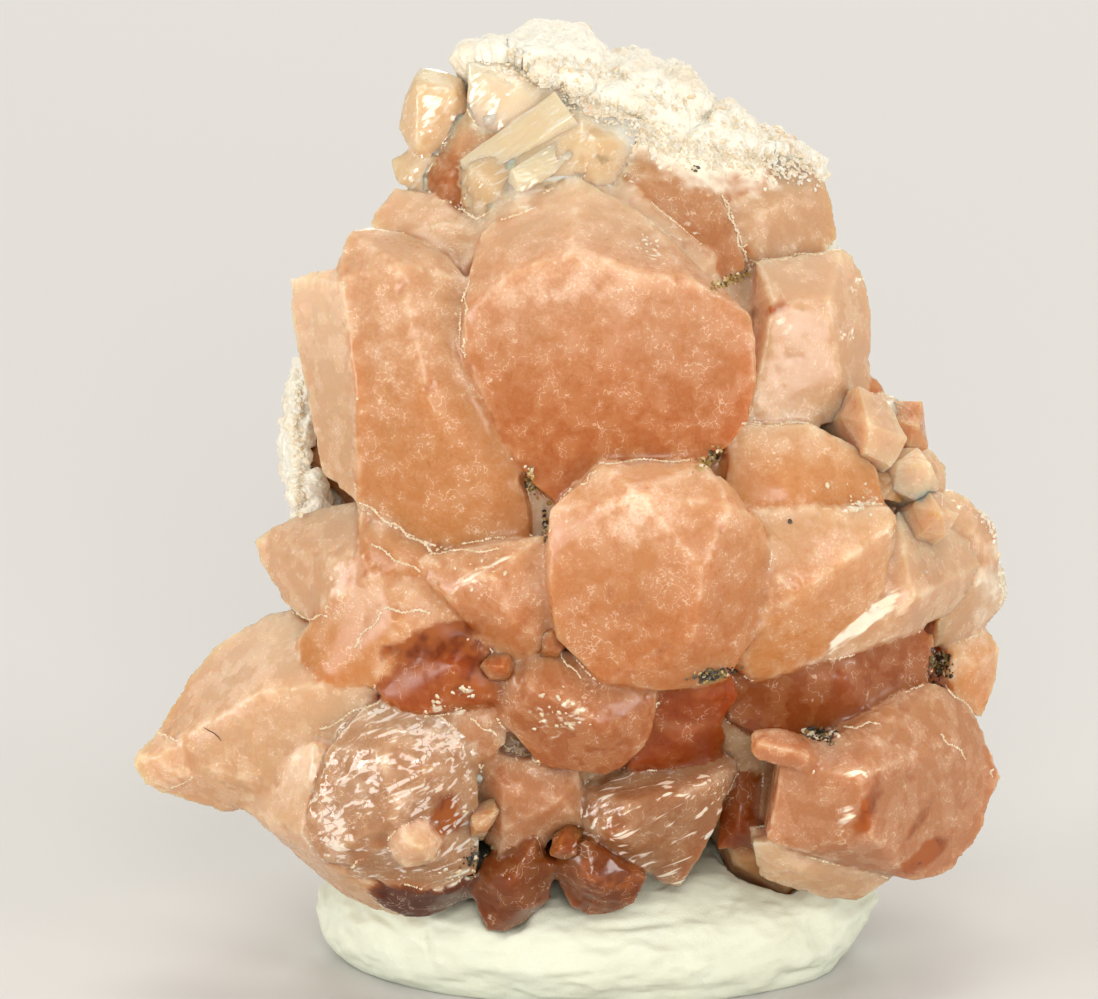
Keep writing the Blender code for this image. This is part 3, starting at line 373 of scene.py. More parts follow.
# ----------------------------------------------------------
# The crystals: pink amethyst, grown together into one mass.  Frosted faces over a milky, glowing body; clear
# yellowish points at the top, iron-stained ones low down.  Each has its own colour, and is paler towards its
# top, partly its own colour and partly painted light on its upper faces.
CRYSTAL_VOXEL = 0.24 * MM
CRYSTAL_TRIANGLES = 195000
VIEW_DISTANCE = 1.6
TOWARDS_EYE = Vector((0.0, -math.cos(FRONT_TILT), math.sin(FRONT_TILT)))
EYE = FRONT_MIDDLE + TOWARDS_EYE * VIEW_DISTANCE
FLAT_ANGLE = math.radians(1.0)
CONTACT_ANGLE = math.radians(-1.5)    # a sharper hollow than this is where two crystals meet
RIDGE_ANGLE = math.radians(19.0)      # a blunter ridge than this has melted away
EDGE_STEP = 0.15 * MM
TIP_FADE = 2.4                        # a tip's colour keeps to the tip the more, the larger this is
MELT_ROUNDS = 60                      # how often the faces are smoothed between their edges

# kind: colour at the root, colour at the tip, gloss, growth lines
KINDS = {
    "salmon": ((0.45, 0.145, 0.030), (0.74, 0.51, 0.32), 0.25, 0.0),
    "peach": ((0.46, 0.170, 0.050), (0.64, 0.36, 0.185), 0.25, 0.0),
    "honey": ((0.56, 0.235, 0.078), (0.64, 0.41, 0.23), 0.25, 0.0),
    "pink": ((0.51, 0.208, 0.062), (0.62, 0.39, 0.23), 0.20, 0.0),
    "blush": ((0.56, 0.32, 0.170), (0.66, 0.45, 0.29), 0.40, 0.0),
    "rosy": ((0.43, 0.185, 0.078), (0.50, 0.24, 0.11), 0.35, 0.0),
    "orange": ((0.38, 0.135, 0.040), (0.45, 0.19, 0.075), 0.30, 0.0),
    "tawny": ((0.31, 0.088, 0.018), (0.40, 0.140, 0.042), 0.30, 0.0),
    "amber": ((0.19, 0.050, 0.006), (0.26, 0.080, 0.012), 0.55, 0.3),
    "rust": ((0.38, 0.095, 0.010), (0.24, 0.045, 0.004), 0.25, 0.0),
    "maroon": ((0.26, 0.060, 0.008), (0.30, 0.080, 0.012), 0.30, 0.0),
    "foot": ((0.09, 0.016, 0.003), (0.16, 0.034, 0.006), 0.92, 0.0),
    "ember": ((0.33, 0.065, 0.005), (0.38, 0.10, 0.014), 0.20, 0.0),
    "brown": ((0.46, 0.185, 0.07), (0.62, 0.36, 0.18), 0.25, 0.2),
    "lined": ((0.32, 0.145, 0.058), (0.38, 0.20, 0.10), 0.85, 1.0),
    "yellow": ((0.74, 0.49, 0.26), (0.86, 0.65, 0.40), 0.80, 0.75),
    "clear": ((0.86, 0.64, 0.42), (0.93, 0.78, 0.57), 0.70, 0.7),
    "pale": ((0.57, 0.33, 0.17), (0.76, 0.55, 0.37), 0.35, 0.0),
    "glossy": ((0.39, 0.195, 0.09), (0.46, 0.28, 0.16), 1.0, 0.0),
}
# for each kind, a place on each of its crystals, on the front elevation in millimetres
LOOKS = {
    "salmon": ((3.6, 10.5),),
    "pink": ((-8.3, 7.0), (24.9, 2.1), (-10.6, -3.2), (-13.2, -8.4)),
    "pale": ((-15.7, 7.0), (27.0, 2.1), (20.4, -26.0), (-22.3, -12.6), (-28.0, -18.2), (-18.0, -24.2)),
    "peach": ((6.4, -4.2), (-4.1, -6.3)),
    "honey": ((19.0, 2.8), (18.0, -5.0), (29.5, -12.0)),
    "blush": (
        (16.0, 10.5), (21.0, 12.0), (16.9, 20.3), (23.2, 5.6), (26.7, -5.6), (30.5, -3.0), (30.5, -7.0),
        (-16.0, -4.2), (-9.6, -23.8), (-9.0, 19.9),
    ),
    "brown": ((9.9, 20.3),),
    "tawny": ((21.0, -12.0),),
    "rosy": ((21.1, -19.6), (26.7, -23.8), (31.0, -19.4), (16.2, -16.9), (-2.0, -21.0), (-5.0, -15.6)),
    "lined": ((7.1, -21.7),),
    "amber": ((-2.4, -27.3), (4.3, -26.6)),
    "ember": ((9.9, -14.0), (9.9, -16.8)),
    "maroon": ((14.1, -20.3),),
    "orange": ((2.2, -14.0), (-6.9, 22.4)),
    "rust": ((-7.6, -11.2),),
    "glossy": ((-11.1, -18.2), (-6.8, -25.8)),
    "foot": ((-8.0, -28.3),),
    "yellow": ((-2.7, 24.5), (4.2, 24.4), (-8.3, 27.3), (-9.8, 23.6)),
    "clear": ((-1.0, 28.0),),
}
CLEAR_KINDS = ("yellow", "clear")
OTHER_KINDS = ("salmon", "pink", "pink", "pale", "peach", "blush")
# white chips, partly painted highlights on bright facets; iron rust; mist under the face, partly painted
# sheen and glare; dark dirt; and a sugary white crust: each mark's middle on the front elevation, half its
# width and height in millimetres, its turn in degrees and its strength
MARKS = {
    "white": (
        (7.0, 17.8, 0.7, 2.2, 20.0, 0.5), (-7.8, -14.4, 0.6, 0.4, 0.0, 0.7),
        (-5.9, -13.4, 0.8, 0.3, 10.0, 0.7), (-6.2, -14.7, 0.7, 0.35, -20.0, 0.6),
        (1.1, -15.0, 2.6, 1.7, 0.0, 0.45), (-2.2, -17.5, 1.6, 1.2, -30.0, 0.5),
        (21.6, -0.4, 2.1, 0.35, 22.0, 0.75), (22.9, -2.2, 1.1, 0.3, -4.0, 0.7),
        (16.2, 11.9, 0.8, 0.8, 0.0, 0.5), (20.6, 11.5, 0.9, 0.6, 0.0, 0.5),
        (21.8, 15.0, 1.2, 0.7, 20.0, 0.5), (-4.7, -5.0, 2.9, 0.45, 30.0, 0.6),
        # the next two marks, a long strip and a small patch on the right, are painted highlights on bright
        # facets
        (21.9, -8.5, 4.1, 0.55, 38.0, 0.95), (20.7, -22.4, 0.7, 1.0, 0.0, 0.7),
        (21.4, -19.1, 1.1, 0.3, 0.0, 0.6), (-6.3, -26.2, 1.3, 1.0, 0.0, 0.6),
        (9.0, 19.0, 1.4, 1.1, 0.0, 0.35), (28.6, -0.6, 1.6, 1.2, 0.0, 0.4),
    ),
    "rust": (
        (-7.9, -9.9, 3.6, 0.9, 18.0, 1.3), (-5.2, -11.9, 1.4, 1.8, -30.0, 0.9),
        (-8.5, -12.6, 2.2, 1.2, 20.0, 0.35), (-7.0, -21.9, 1.3, 1.5, 0.0, 0.8),
        (22.2, -21.2, 0.6, 2.4, -24.0, 0.8), (23.4, -20.2, 0.4, 1.6, -30.0, 0.5),
        (25.1, -19.1, 1.0, 0.6, 0.0, 0.5), (26.4, -24.6, 2.6, 0.7, 38.0, 0.8),
        (25.6, -22.6, 2.6, 0.4, 60.0, 0.6), (15.7, 13.3, 2.2, 0.6, 15.0, 0.5),
        (5.3, -7.3, 1.9, 1.4, 0.0, 0.4), (4.3, -26.4, 2.4, 1.6, 0.0, 0.35),
        (9.8, 17.2, 3.0, 1.8, 0.0, 0.28), (16.4, 24.6, 1.5, 0.8, 0.0, 0.3),
        (-3.4, -20.2, 0.9, 2.4, 0.0, 0.4),
    ),
    "mist_and_sheen": (
        # the first mark on the next line is painted sheen of light off a frosted face
        (5.6, -0.6, 3.0, 2.2, -20.0, 1.2), (0.5, 14.4, 4.8, 2.4, 18.0, 0.6),
        (-10.5, 11.5, 3.4, 3.0, 0.0, 0.4), (17.6, 5.0, 3.4, 1.5, 0.0, 0.5),
        (19.6, -3.0, 3.2, 2.0, 25.0, 0.4), (-21.4, -12.5, 3.4, 1.8, 35.0, 0.5),
        (22.5, -17.0, 3.4, 1.0, 5.0, 0.25), (15.0, 8.5, 1.8, 4.0, -10.0, 0.4),
        # the first mark on the next line lies on the glossiest crystal and strengthens its painted glare
        (-7.6, -16.6, 2.6, 1.2, 10.0, 1.0), (-15.0, -22.8, 0.9, 2.2, 20.0, 0.8),
        (-9.9, -21.2, 1.3, 0.6, 0.0, 0.6), (-12.0, -18.8, 1.8, 0.8, 50.0, 0.5),
    ),
    "dark": (
        (-0.3, -1.8, 0.3, 1.4, 0.0, 0.7), (11.4, 2.9, 0.9, 0.3, 40.0, 0.7),
        (12.6, 15.4, 1.1, 0.3, 20.0, 0.7), (3.6, 23.6, 1.2, 0.5, 20.0, 0.4),
        (11.4, -12.4, 1.4, 0.5, 10.0, 0.7), (27.4, -11.5, 1.0, 1.0, 0.0, 0.6),
    ),
    "sugar": (
        (7.0, 25.9, 4.5, 1.9, -28.0, 1.2), (10.5, 24.2, 4.5, 2.4, -20.0, 1.2),
        (15.5, 24.3, 5.0, 2.6, -6.0, 1.1), (20.0, 23.0, 2.5, 3.2, -30.0, 0.9),
        (1.0, 30.4, 5.0, 1.3, -12.0, 1.0), (-8.0, 29.4, 2.4, 0.7, -20.0, 0.5),
        (31.4, -6.0, 1.6, 3.8, -15.0, 0.45),
    ),
}


def seen_from_front(tree, across, up):
    """The point, facing and face of a surface that shows at this place of the front elevation."""
    rise = Vector((0.0, math.sin(FRONT_TILT), math.cos(FRONT_TILT)))
    target = FRONT_MIDDLE + (Vector((across, 0.0, 0.0)) + rise * up) * MM
    spot, facing, face, _ = tree.ray_cast(EYE, (target - EYE).normalized())
    return spot, facing, face


def crystal_numbers(work):
    """Number the crystals: a crystal is convex, so it ends wherever the surface folds inwards."""
    number = {}
    count = 0
    for face in work.faces:
        if face in number:
            continue
        number[face] = count
        stack = [face]
        while stack:
            for edge in stack.pop().edges:
                if edge.calc_face_angle_signed(0.0) < CONTACT_ANGLE:
                    continue
                for other in edge.link_faces:
                    if other not in number:
                        number[other] = count
                        stack.append(other)
        count += 1
    return [number[face] for face in work.faces], count


def edge_points(edges):
    """Points close together along some edges."""
    spots = []
    for edge in edges:
        start, end = (vert.co for vert in edge.verts)
        steps = max(1, round(edge.calc_length() / EDGE_STEP))
        spots += [start.lerp(end, (step + 0.5) / steps) for step in range(steps)]
    return spots


def closeness(places, spots, reach):
    """1 on the given spots, fading to 0 with distance."""
    tree = KDTree(len(spots))
    for index, spot in enumerate(spots):
        tree.insert(spot, index)
    tree.balance()
    return np.array([math.exp(-(tree.find(place)[2] / reach) ** 2) for place in places])


def paint(mesh, name, columns):
    """Keep four values for each vertex."""
    layer = mesh.color_attributes.new(name, "FLOAT_COLOR", "POINT")
    layer.data.foreach_set("color", np.stack(columns, axis=1).astype(np.float32).ravel())


def marked(tree, places, ragged):
    """How strongly each sort of mark lies on each point."""
    across, up, depth = elevation(places)
    amounts = []
    for marks in MARKS.values():
        amount = np.zeros(len(places))
        for middle, height, half_width, half_height, turn, strength in marks:
            spot, _, _ = seen_from_front(tree, middle, height)
            if spot is None:
                continue
            along, athwart = turned(across, up, middle, height, turn)
            reach = np.sqrt((along / half_width) ** 2 + (athwart / half_height) ** 2) + 0.35 * ragged
            inside = np.clip((1.35 - reach) / 0.9, 0.0, 1.0) * strength
            behind = depth - (spot.y - FRONT_MIDDLE.y) / MM
            inside *= np.exp(-(behind / (1.5 + 1.2 * max(half_width, half_height))) ** 2)
            amount = np.maximum(amount, inside)
        amounts.append(amount)
    return amounts


plain = merged_copy("amethyst_crystals")
bmesh.ops.dissolve_limit(plain, angle_limit=FLAT_ANGLE, verts=plain.verts, edges=plain.edges)
plain.faces.ensure_lookup_table()
crystal_of, crystal_count = crystal_numbers(plain)
plain_tree = BVHTree.FromBMesh(plain)
contacts = [edge for edge in plain.edges if edge.calc_face_angle_signed(0.0) < CONTACT_ANGLE]
ridges = [edge for edge in plain.edges if edge.calc_face_angle_signed(0.0) > RIDGE_ANGLE]

dice = random.Random(5)
kind_of = [dice.choice(OTHER_KINDS) for _ in range(crystal_count)]
for kind, spots in LOOKS.items():
    for spot in spots:
        _, _, face = seen_from_front(plain_tree, *spot)
        if face is not None:
            kind_of[crystal_of[face]] = kind

crystal_mesh = fine_copy("amethyst_crystals", CRYSTAL_VOXEL, 1)
places, outward = points_of(crystal_mesh)
ridge_points = edge_points(ridges)
contact_points = edge_points(contacts)
# edges and contacts stay where they are while the faces between them are smoothed
held = np.maximum(closeness(places, ridge_points, 0.60 * MM), closeness(places, contact_points, 0.45 * MM))
crystal_mesh = evaluated_mesh(crystal_mesh, "SMOOTH", 1.0 - held, factor=SMOOTH_FACTOR,
                              iterations=MELT_ROUNDS)
places, outward = points_of(crystal_mesh)
crystal_here = np.array([crystal_of[plain_tree.find_nearest(place)[2]] for place in places])
shine = np.array([KINDS[kind][2] for kind in kind_of])[crystal_here]
# faint waves in the faces, chips out of the edges, pits, crackle on the glossiest, and filled contacts
waves = grain(places, 4.0 * MM, 11, octaves=2)
ridge_nearness = closeness(places, ridge_points, 0.45 * MM)
filled = closeness(places, contact_points, 0.50 * MM)
chips = np.clip(grain(places, 1.1 * MM, 12) - 0.25, 0.0, 0.6) * ridge_nearness
pits = np.clip(grain(places, 0.9 * MM, 13) - 0.30, 0.0, 0.5)
crackle = knobs(places, 1.6 * MM, 14) * np.clip(shine - 0.9, 0.0, 0.1) / 0.1
swell = (0.05 * waves - 0.35 * chips - 0.10 * pits - 0.22 * crackle + 0.16 * filled * room(places)) * MM
put_points(crystal_mesh, places + outward * swell[:, None])
crystal_mesh = thinned(crystal_mesh, CRYSTAL_TRIANGLES)

places, outward = points_of(crystal_mesh)
crystal_here = np.array([crystal_of[plain_tree.find_nearest(place)[2]] for place in places])
root_colour, tip_colour, gloss, lines = (
    np.array([KINDS[kind][column] for kind in kind_of])[crystal_here] for column in range(4))
crease = closeness(places, contact_points, 0.40 * MM)
ridge_nearness = closeness(places, ridge_points, 0.26 * MM)
# each crystal's colour goes from its lowest point to its highest on the front elevation, paler upward: partly
# its own colour, partly painted light on its upper faces
_, up, _ = elevation(places)
low = np.zeros(crystal_count)
high = np.ones(crystal_count)
for crystal in range(crystal_count):
    own = up[crystal_here == crystal]
    if len(own):
        low[crystal], high[crystal] = own.min(), own.max()
rise = np.clip((up - low[crystal_here]) / np.maximum(high - low, 1.0)[crystal_here], 0.0, 1.0)
tint = np.array([dice.uniform(0.95, 1.05) for _ in range(crystal_count)])[crystal_here]
colour = (root_colour + (tip_colour - root_colour) * (rise ** TIP_FADE)[:, None]) * tint[:, None]
white, rust, mist_and_sheen, dark, sugar = marked(plain_tree, places, grain(places, 1.3 * MM, 15))
paint(crystal_mesh, "body", (*colour.T, lines))
paint(crystal_mesh, "finish", (gloss, sugar, ridge_nearness, crease))
paint(crystal_mesh, "stain", (white, rust, mist_and_sheen, dark))


def surface_tree(mesh):
    """The mesh, ready for finding places on it."""
    return BVHTree.FromPolygons([vert.co.copy() for vert in mesh.vertices],
                                [tuple(polygon.vertices) for polygon in mesh.polygons])


def parted(mesh, chosen):
    """The chosen faces as one mesh, and all others as a second, its openings closed."""
    pair = []
    for keep in (True, False):
        work = bmesh.new()
        work.from_mesh(mesh)
        unwanted = [face for face in work.faces if chosen[face.index] != keep]
        bmesh.ops.delete(work, geom=unwanted, context="FACES")
        if not keep:
            rims = [edge for edge in work.edges if edge.is_boundary]
            filled = bmesh.ops.holes_fill(work, edges=rims, sides=0)["faces"]
            bmesh.ops.triangulate(work, faces=filled)
        part = bpy.data.meshes.new(mesh.name)
        work.to_mesh(part)
        work.free()
        pair.append(part)
    return pair


crystal_tree = surface_tree(crystal_mesh)
clear_here = np.isin(crystal_here, [number for number, kind in enumerate(kind_of) if kind in CLEAR_KINDS])
clear_mesh, milky_mesh = parted(
    crystal_mesh, [clear_here[list(polygon.vertices)].all() for polygon in crystal_mesh.polygons])


PALE_TINT = (0.92, 0.70, 0.50, 1.0)
DEEP_TINT = (0.80, 0.58, 0.45, 1.0)
CRACK_CREAM = (0.93, 0.76, 0.58, 1.0)
PAINTED_GLINT_CREAM = (0.97, 0.84, 0.68, 1.0)
MIST_AND_SHEEN_CREAM = (0.88, 0.70, 0.54, 1.0)
NICK_AND_HIGHLIGHT_CREAM = (0.95, 0.79, 0.62, 1.0)
PAINTED_CREASE_GLOW = (0.46, 0.15, 0.04, 1.0)
IRON_BROWN = (0.20, 0.035, 0.004, 1.0)
IRON_ORANGE = (0.36, 0.095, 0.014, 1.0)
DIRT_OLIVE = (0.30, 0.20, 0.08, 1.0)
DASH_AND_HIGHLIGHT_CREAM = (0.96, 0.86, 0.72, 1.0)
PAINTED_GLARE_WHITE = (0.95, 0.88, 0.79, 1.0)
CRUST_AND_HIGHLIGHT_WHITE = (0.90, 0.83, 0.67, 1.0)


def quartz_effect():
    """The skin of quartz: drifting milkiness, fine frost, painted glints, worn edges partly painted as
    highlights, stains, painted glare and crease glow, chips and crust.
    """
    sheet = Sheet("quartz_skin", effect=True)
    milk = sheet.take("Milk", 0.4)
    glitter = sheet.take("Glitter", 0.4)
    veins = sheet.take("Veins", 0.5)
    line_turn = sheet.take("Line Turn", (0.0, 0.0, 0.0))
    body, finish, stain = (sheet.attribute(name).outputs for name in ("body", "finish", "stain"))
    gloss, sugar, ridge_nearness = sheet.channels(finish["Color"])
    white, rust, mist_and_sheen = sheet.channels(stain["Color"])
    body, lines, crease, dark = body["Color"], body["Alpha"], finish["Alpha"], stain["Alpha"]

    clouds = sheet.noise(1.7 * MM, detail=2.0, roughness=0.58)
    dust = sheet.noise(0.20 * MM, detail=1.0, roughness=0.7)
    stretched = sheet.node("ShaderNodeMapping", vector_type="TEXTURE")
    sheet.feed(stretched, Vector=sheet.place, Rotation=line_turn, Scale=(9.0, 1.0, 1.0))
    streaks = sheet.noise(0.45 * MM, detail=1.0, roughness=0.6, place=stretched.outputs["Vector"])
    wrinkles = sheet.noise(1.3 * MM, detail=2.0, roughness=0.7)
    uneven = sheet.maths("SUBTRACT", clouds, 0.5)
    folds = sheet.maths("ABSOLUTE", sheet.maths("SUBTRACT", wrinkles, 0.5), 0.0)

    def patch(amount, raggedness, low, high):
        ragged = sheet.maths("ADD", amount, sheet.times(uneven, raggedness))
        return sheet.times(sheet.ramp(ragged, low, high), sheet.ramp(amount, 0.02, 0.2))

    # the body, from its deep parts to its milky ones
    milkiness = sheet.ramp(sheet.channels(body)[1], 0.06, 0.32, 0.10, 1.0)
    murkiness = sheet.ramp(milkiness, 0.1, 0.7, 0.8, 0.04)
    murk = sheet.times(sheet.ramp(clouds, 0.40, 0.58, 1.0, 0.0), murkiness)
    pale = sheet.mix(sheet.times(milkiness, 0.60), body, PALE_TINT)
    colour = sheet.mix(murk, body, sheet.mix(1.0, body, DEEP_TINT, blend="MULTIPLY"))
    colour = sheet.mix(sheet.times(sheet.ramp(clouds, 0.38, 0.78), milk), colour, pale)

    # frost, hair cracks, painted glints, mist under the face with painted sheen in places, and nicked edges
    # partly painted as highlights
    frosted = sheet.times(sheet.ramp(dust, 0.42, 0.66), sheet.ramp(wrinkles, 0.40, 0.62, 0.3, 1.0))
    colour = sheet.mix(sheet.times(frosted, glitter), colour, pale)
    cracks = sheet.times(sheet.ramp(folds, 0.002, 0.013, 1.0, 0.0), sheet.ramp(clouds, 0.47, 0.56))
    colour = sheet.mix(sheet.times(cracks, veins), colour, CRACK_CREAM)
    # painted glints: small pale highlight specks painted into the colour
    painted_glints = sheet.times(sheet.ramp(dust, 0.64, 0.72), sheet.ramp(clouds, 0.44, 0.60))
    colour = sheet.mix(sheet.times(painted_glints, sheet.times(milkiness, 0.55)), colour, PAINTED_GLINT_CREAM)
    # mist under the face, and in places painted sheen of light off the frosted face
    haze_and_sheen = sheet.times(sheet.ramp(clouds, 0.34, 0.62, 0.10, 0.60), sheet.ramp(dust, 0.30, 0.60, 0.5, 1.0))
    colour = sheet.mix(sheet.times(mist_and_sheen, haze_and_sheen), colour, MIST_AND_SHEEN_CREAM)
    # nicked edges, partly painted highlight: pale lines painted along the ridges
    nicks_and_edge_highlights = sheet.times(ridge_nearness, sheet.ramp(clouds, 0.38, 0.72, 0.06, 0.36))
    colour = sheet.mix(sheet.times(nicks_and_edge_highlights, milkiness), colour, NICK_AND_HIGHLIGHT_CREAM)

    # painted light: an orange glow painted into the creases where light gathers, then iron stains and dirt
    colour = sheet.mix(sheet.times(crease, sheet.ramp(clouds, 0.42, 0.55, 0.45, 0.0)), colour, PAINTED_CREASE_GLOW)
    iron = sheet.mix(sheet.ramp(clouds, 0.40, 0.60), IRON_BROWN, IRON_ORANGE)
    colour = sheet.mix(patch(rust, 1.6, 0.20, 0.75), colour, iron)
    colour = sheet.mix(patch(dark, 1.2, 0.30, 0.80), colour, DIRT_OLIVE)

    # dashes along the growth lines, partly painted highlights of light caught on the lines, and the broken
    # glare of the glossiest crystal, painted into its colour
    dashes_and_highlights = sheet.times(sheet.ramp(streaks, 0.60, 0.68), sheet.ramp(lines, 0.40, 1.0, 0.0, 0.75))
    colour = sheet.mix(dashes_and_highlights, colour, DASH_AND_HIGHLIGHT_CREAM)
    # painted glare: broken white highlights painted into the colour of the glossiest crystal, stronger under
    # the mist and sheen marks
    painted_glare = sheet.ramp(sheet.maths("ADD", streaks, sheet.times(mist_and_sheen, 0.16)), 0.56, 0.66)
    painted_glare = sheet.times(painted_glare, sheet.ramp(folds, 0.008, 0.026))
    painted_glare = sheet.times(painted_glare, sheet.times(sheet.ramp(gloss, 0.93, 1.0), 0.6))
    colour = sheet.mix(painted_glare, colour, PAINTED_GLARE_WHITE)

    # chips and crust, which lie on top of all that; some white chip marks are painted highlights on bright
    # facets
    ragged_chips_and_highlights = sheet.maths("ADD", white, sheet.times(sheet.maths("SUBTRACT", streaks, 0.5), 1.6))
    chips_and_painted_highlights = sheet.times(sheet.ramp(ragged_chips_and_highlights, 0.40, 0.80), sheet.ramp(white, 0.02, 0.15))
    crust_and_painted_highlights = sheet.maths("MAXIMUM", chips_and_painted_highlights, patch(sugar, 0.9, 0.05, 1.05))
    sheet.give("Color", sheet.mix(crust_and_painted_highlights, colour, CRUST_AND_HIGHLIGHT_WHITE))

    polish = sheet.ramp(gloss, 0.0, 1.0, 0.34, 0.03)
    frost = sheet.maths("ADD", polish, sheet.ramp(clouds, 0.3, 0.7, -0.05, 0.10))
    roughness = sheet.maths("MAXIMUM", frost, sheet.ramp(crust_and_painted_highlights, 0.0, 1.0, 0.04, 0.50))
    sheet.give("Roughness", roughness)
    sheet.give("Height", sheet.times(streaks, sheet.times(lines, 1.4)))
    return sheet.tree


QUARTZ = quartz_effect()
QUARTZ_IOR = 1.544
LINE_RELIEF = 0.10 * MM
MILKY_LINE_TURN = (0.0, math.radians(-24.0), 0.0)
CLEAR_LINE_TURN = (0.0, math.radians(-38.0), 0.0)
CLEAR_YELLOW = (0.97, 0.88, 0.64, 1.0)
CLEAR_DENSITY = 25.0                  # per metre


def milky_material():
    """Frosted, milky quartz that light sinks into and scatters orange in, but not where crust covers it."""
    sheet = Sheet("frosted_pink_quartz")
    skin = sheet.effect(QUARTZ, Milk=0.40, Glitter=0.24, Veins=0.40, Line_Turn=MILKY_LINE_TURN)
    sugar = sheet.channels(sheet.attribute("finish").outputs["Color"])[1]
    sheet.feed(sheet.shader, Base_Color=skin["Color"], Roughness=skin["Roughness"], IOR=QUARTZ_IOR,
               Specular_IOR_Level=0.3, Normal=sheet.bump(skin["Height"], LINE_RELIEF, 0.6),
               Subsurface_Weight=sheet.ramp(sugar, 0.05, 0.5, 0.85, 0.0),
               Subsurface_Scale=5.0 * MM, Subsurface_Radius=(1.0, 0.5, 0.28))
    return sheet.material


def clear_material():
    """The clear, pale yellow quartz of the top."""
    sheet = Sheet("clear_quartz")
    skin = sheet.effect(QUARTZ, Milk=0.40, Glitter=0.10, Veins=0.90, Line_Turn=CLEAR_LINE_TURN)
    sheet.feed(sheet.shader, Base_Color=skin["Color"], Roughness=skin["Roughness"], IOR=QUARTZ_IOR,
               Normal=sheet.bump(skin["Height"], LINE_RELIEF, 0.6), Transmission_Weight=0.15,
               Subsurface_Weight=0.7, Subsurface_Scale=3.0 * MM, Subsurface_Radius=(1.0, 0.8, 0.5))
    absorption = sheet.node("ShaderNodeVolumeAbsorption")
    sheet.feed(absorption, Color=CLEAR_YELLOW, Density=CLEAR_DENSITY)
    sheet.tree.links.new(absorption.outputs[0], sheet.tree.nodes["Material Output"].inputs["Volume"])
    return sheet.material


crystals = finished("crystals", milky_mesh, CRYSTAL_TRIANGLES, milky_material())
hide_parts("amethyst_crystals")
clear_points = finished("clear_points", clear_mesh, CRYSTAL_TRIANGLES, clear_material())

# ----------------------------------------------------------
# The seam quartz: cream crumbs of late quartz that cement the crystals along their contacts, with chips that
# lie on worn ridges.  It sits in the creases as thin broken lines.
SEAMS = (   # each line's points on the front elevation, in millimetres
    ((-5.7, 15.4), (-5.9, 12.9)), ((-6.0, 11.2), (-6.0, 9.9)),
    ((-13.2, -0.2), (-10.4, -2.1), (-8.0, -3.7), (-3.4, -3.5)), ((-12.4, -3.2), (-9.0, -5.1)),
    ((-18.5, -7.2), (-17.2, -8.4), (-15.5, -8.1)), ((-13.6, -10.2), (-11.5, -7.7), (-8.3, -7.9)),
    ((-16.0, -16.1), (-11.8, -14.0)), ((0.2, -10.0), (2.2, -12.6)), ((3.6, 2.6), (9.9, 2.8)),
    ((2.4, 1.0), (3.2, 2.1)), ((13.5, 5.2), (18.3, 5.3)),
    ((12.3, 21.0), (13.0, 18.9), (13.7, 16.9), (14.2, 16.6), (15.5, 16.8), (19.3, 17.3)),
    ((14.2, 16.6), (13.9, 15.9), (12.0, 15.0)), ((-5.5, -15.4), (-3.6, -16.6)),
    ((-3.1, -17.2), (-1.7, -17.7), (-0.6, -18.4)), ((-2.6, -16.6), (-1.9, -17.5), (-2.3, -18.3)),
    ((20.7, -16.0), (23.2, -15.6)), ((27.7, -13.0), (30.2, -15.4)), ((27.4, -16.5), (29.3, -18.1)),
)
SEAM_STEP = 0.09 * MM
SEAM_SIZES = (0.06 * MM, 0.13 * MM)
HIDDEN_SEAM_SHARE = 0.20
SEAM_TONE = (0.93, 0.80, 0.56)
SEAM_FLATNESS = 0.8
# patches of chips: middle on the front elevation and spread, in millimetres, and count
CHIP_PLACES = (
    (-7.8, -14.4, 0.8, 10), (-5.9, -13.4, 0.8, 10), (1.1, -15.0, 2.4, 26), (-6.2, -14.7, 0.6, 8),
    (21.6, -0.4, 1.8, 14), (-4.7, -5.0, 2.4, 12), (7.0, 17.8, 1.0, 10), (-6.3, -26.2, 1.0, 10),
)
CHIP_SIZES = (0.10 * MM, 0.26 * MM)
CHIP_FLATNESS = 0.25
CRUMB_TRIANGLES = 190000
CRUMB_SHADE = (0.90, 0.80, 0.68, 1.0)


def crumb_form():
    """The corners and faces of one small angular grain, 1 in radius."""
    form = bmesh.new()
    bmesh.ops.create_icosphere(form, subdivisions=1, radius=1.0)
    corners = np.array([vert.co for vert in form.verts])
    faces = np.array([[vert.index for vert in face.verts] for face in form.faces])
    form.free()
    return corners, faces


CRUMB_CORNERS, CRUMB_FACES = crumb_form()


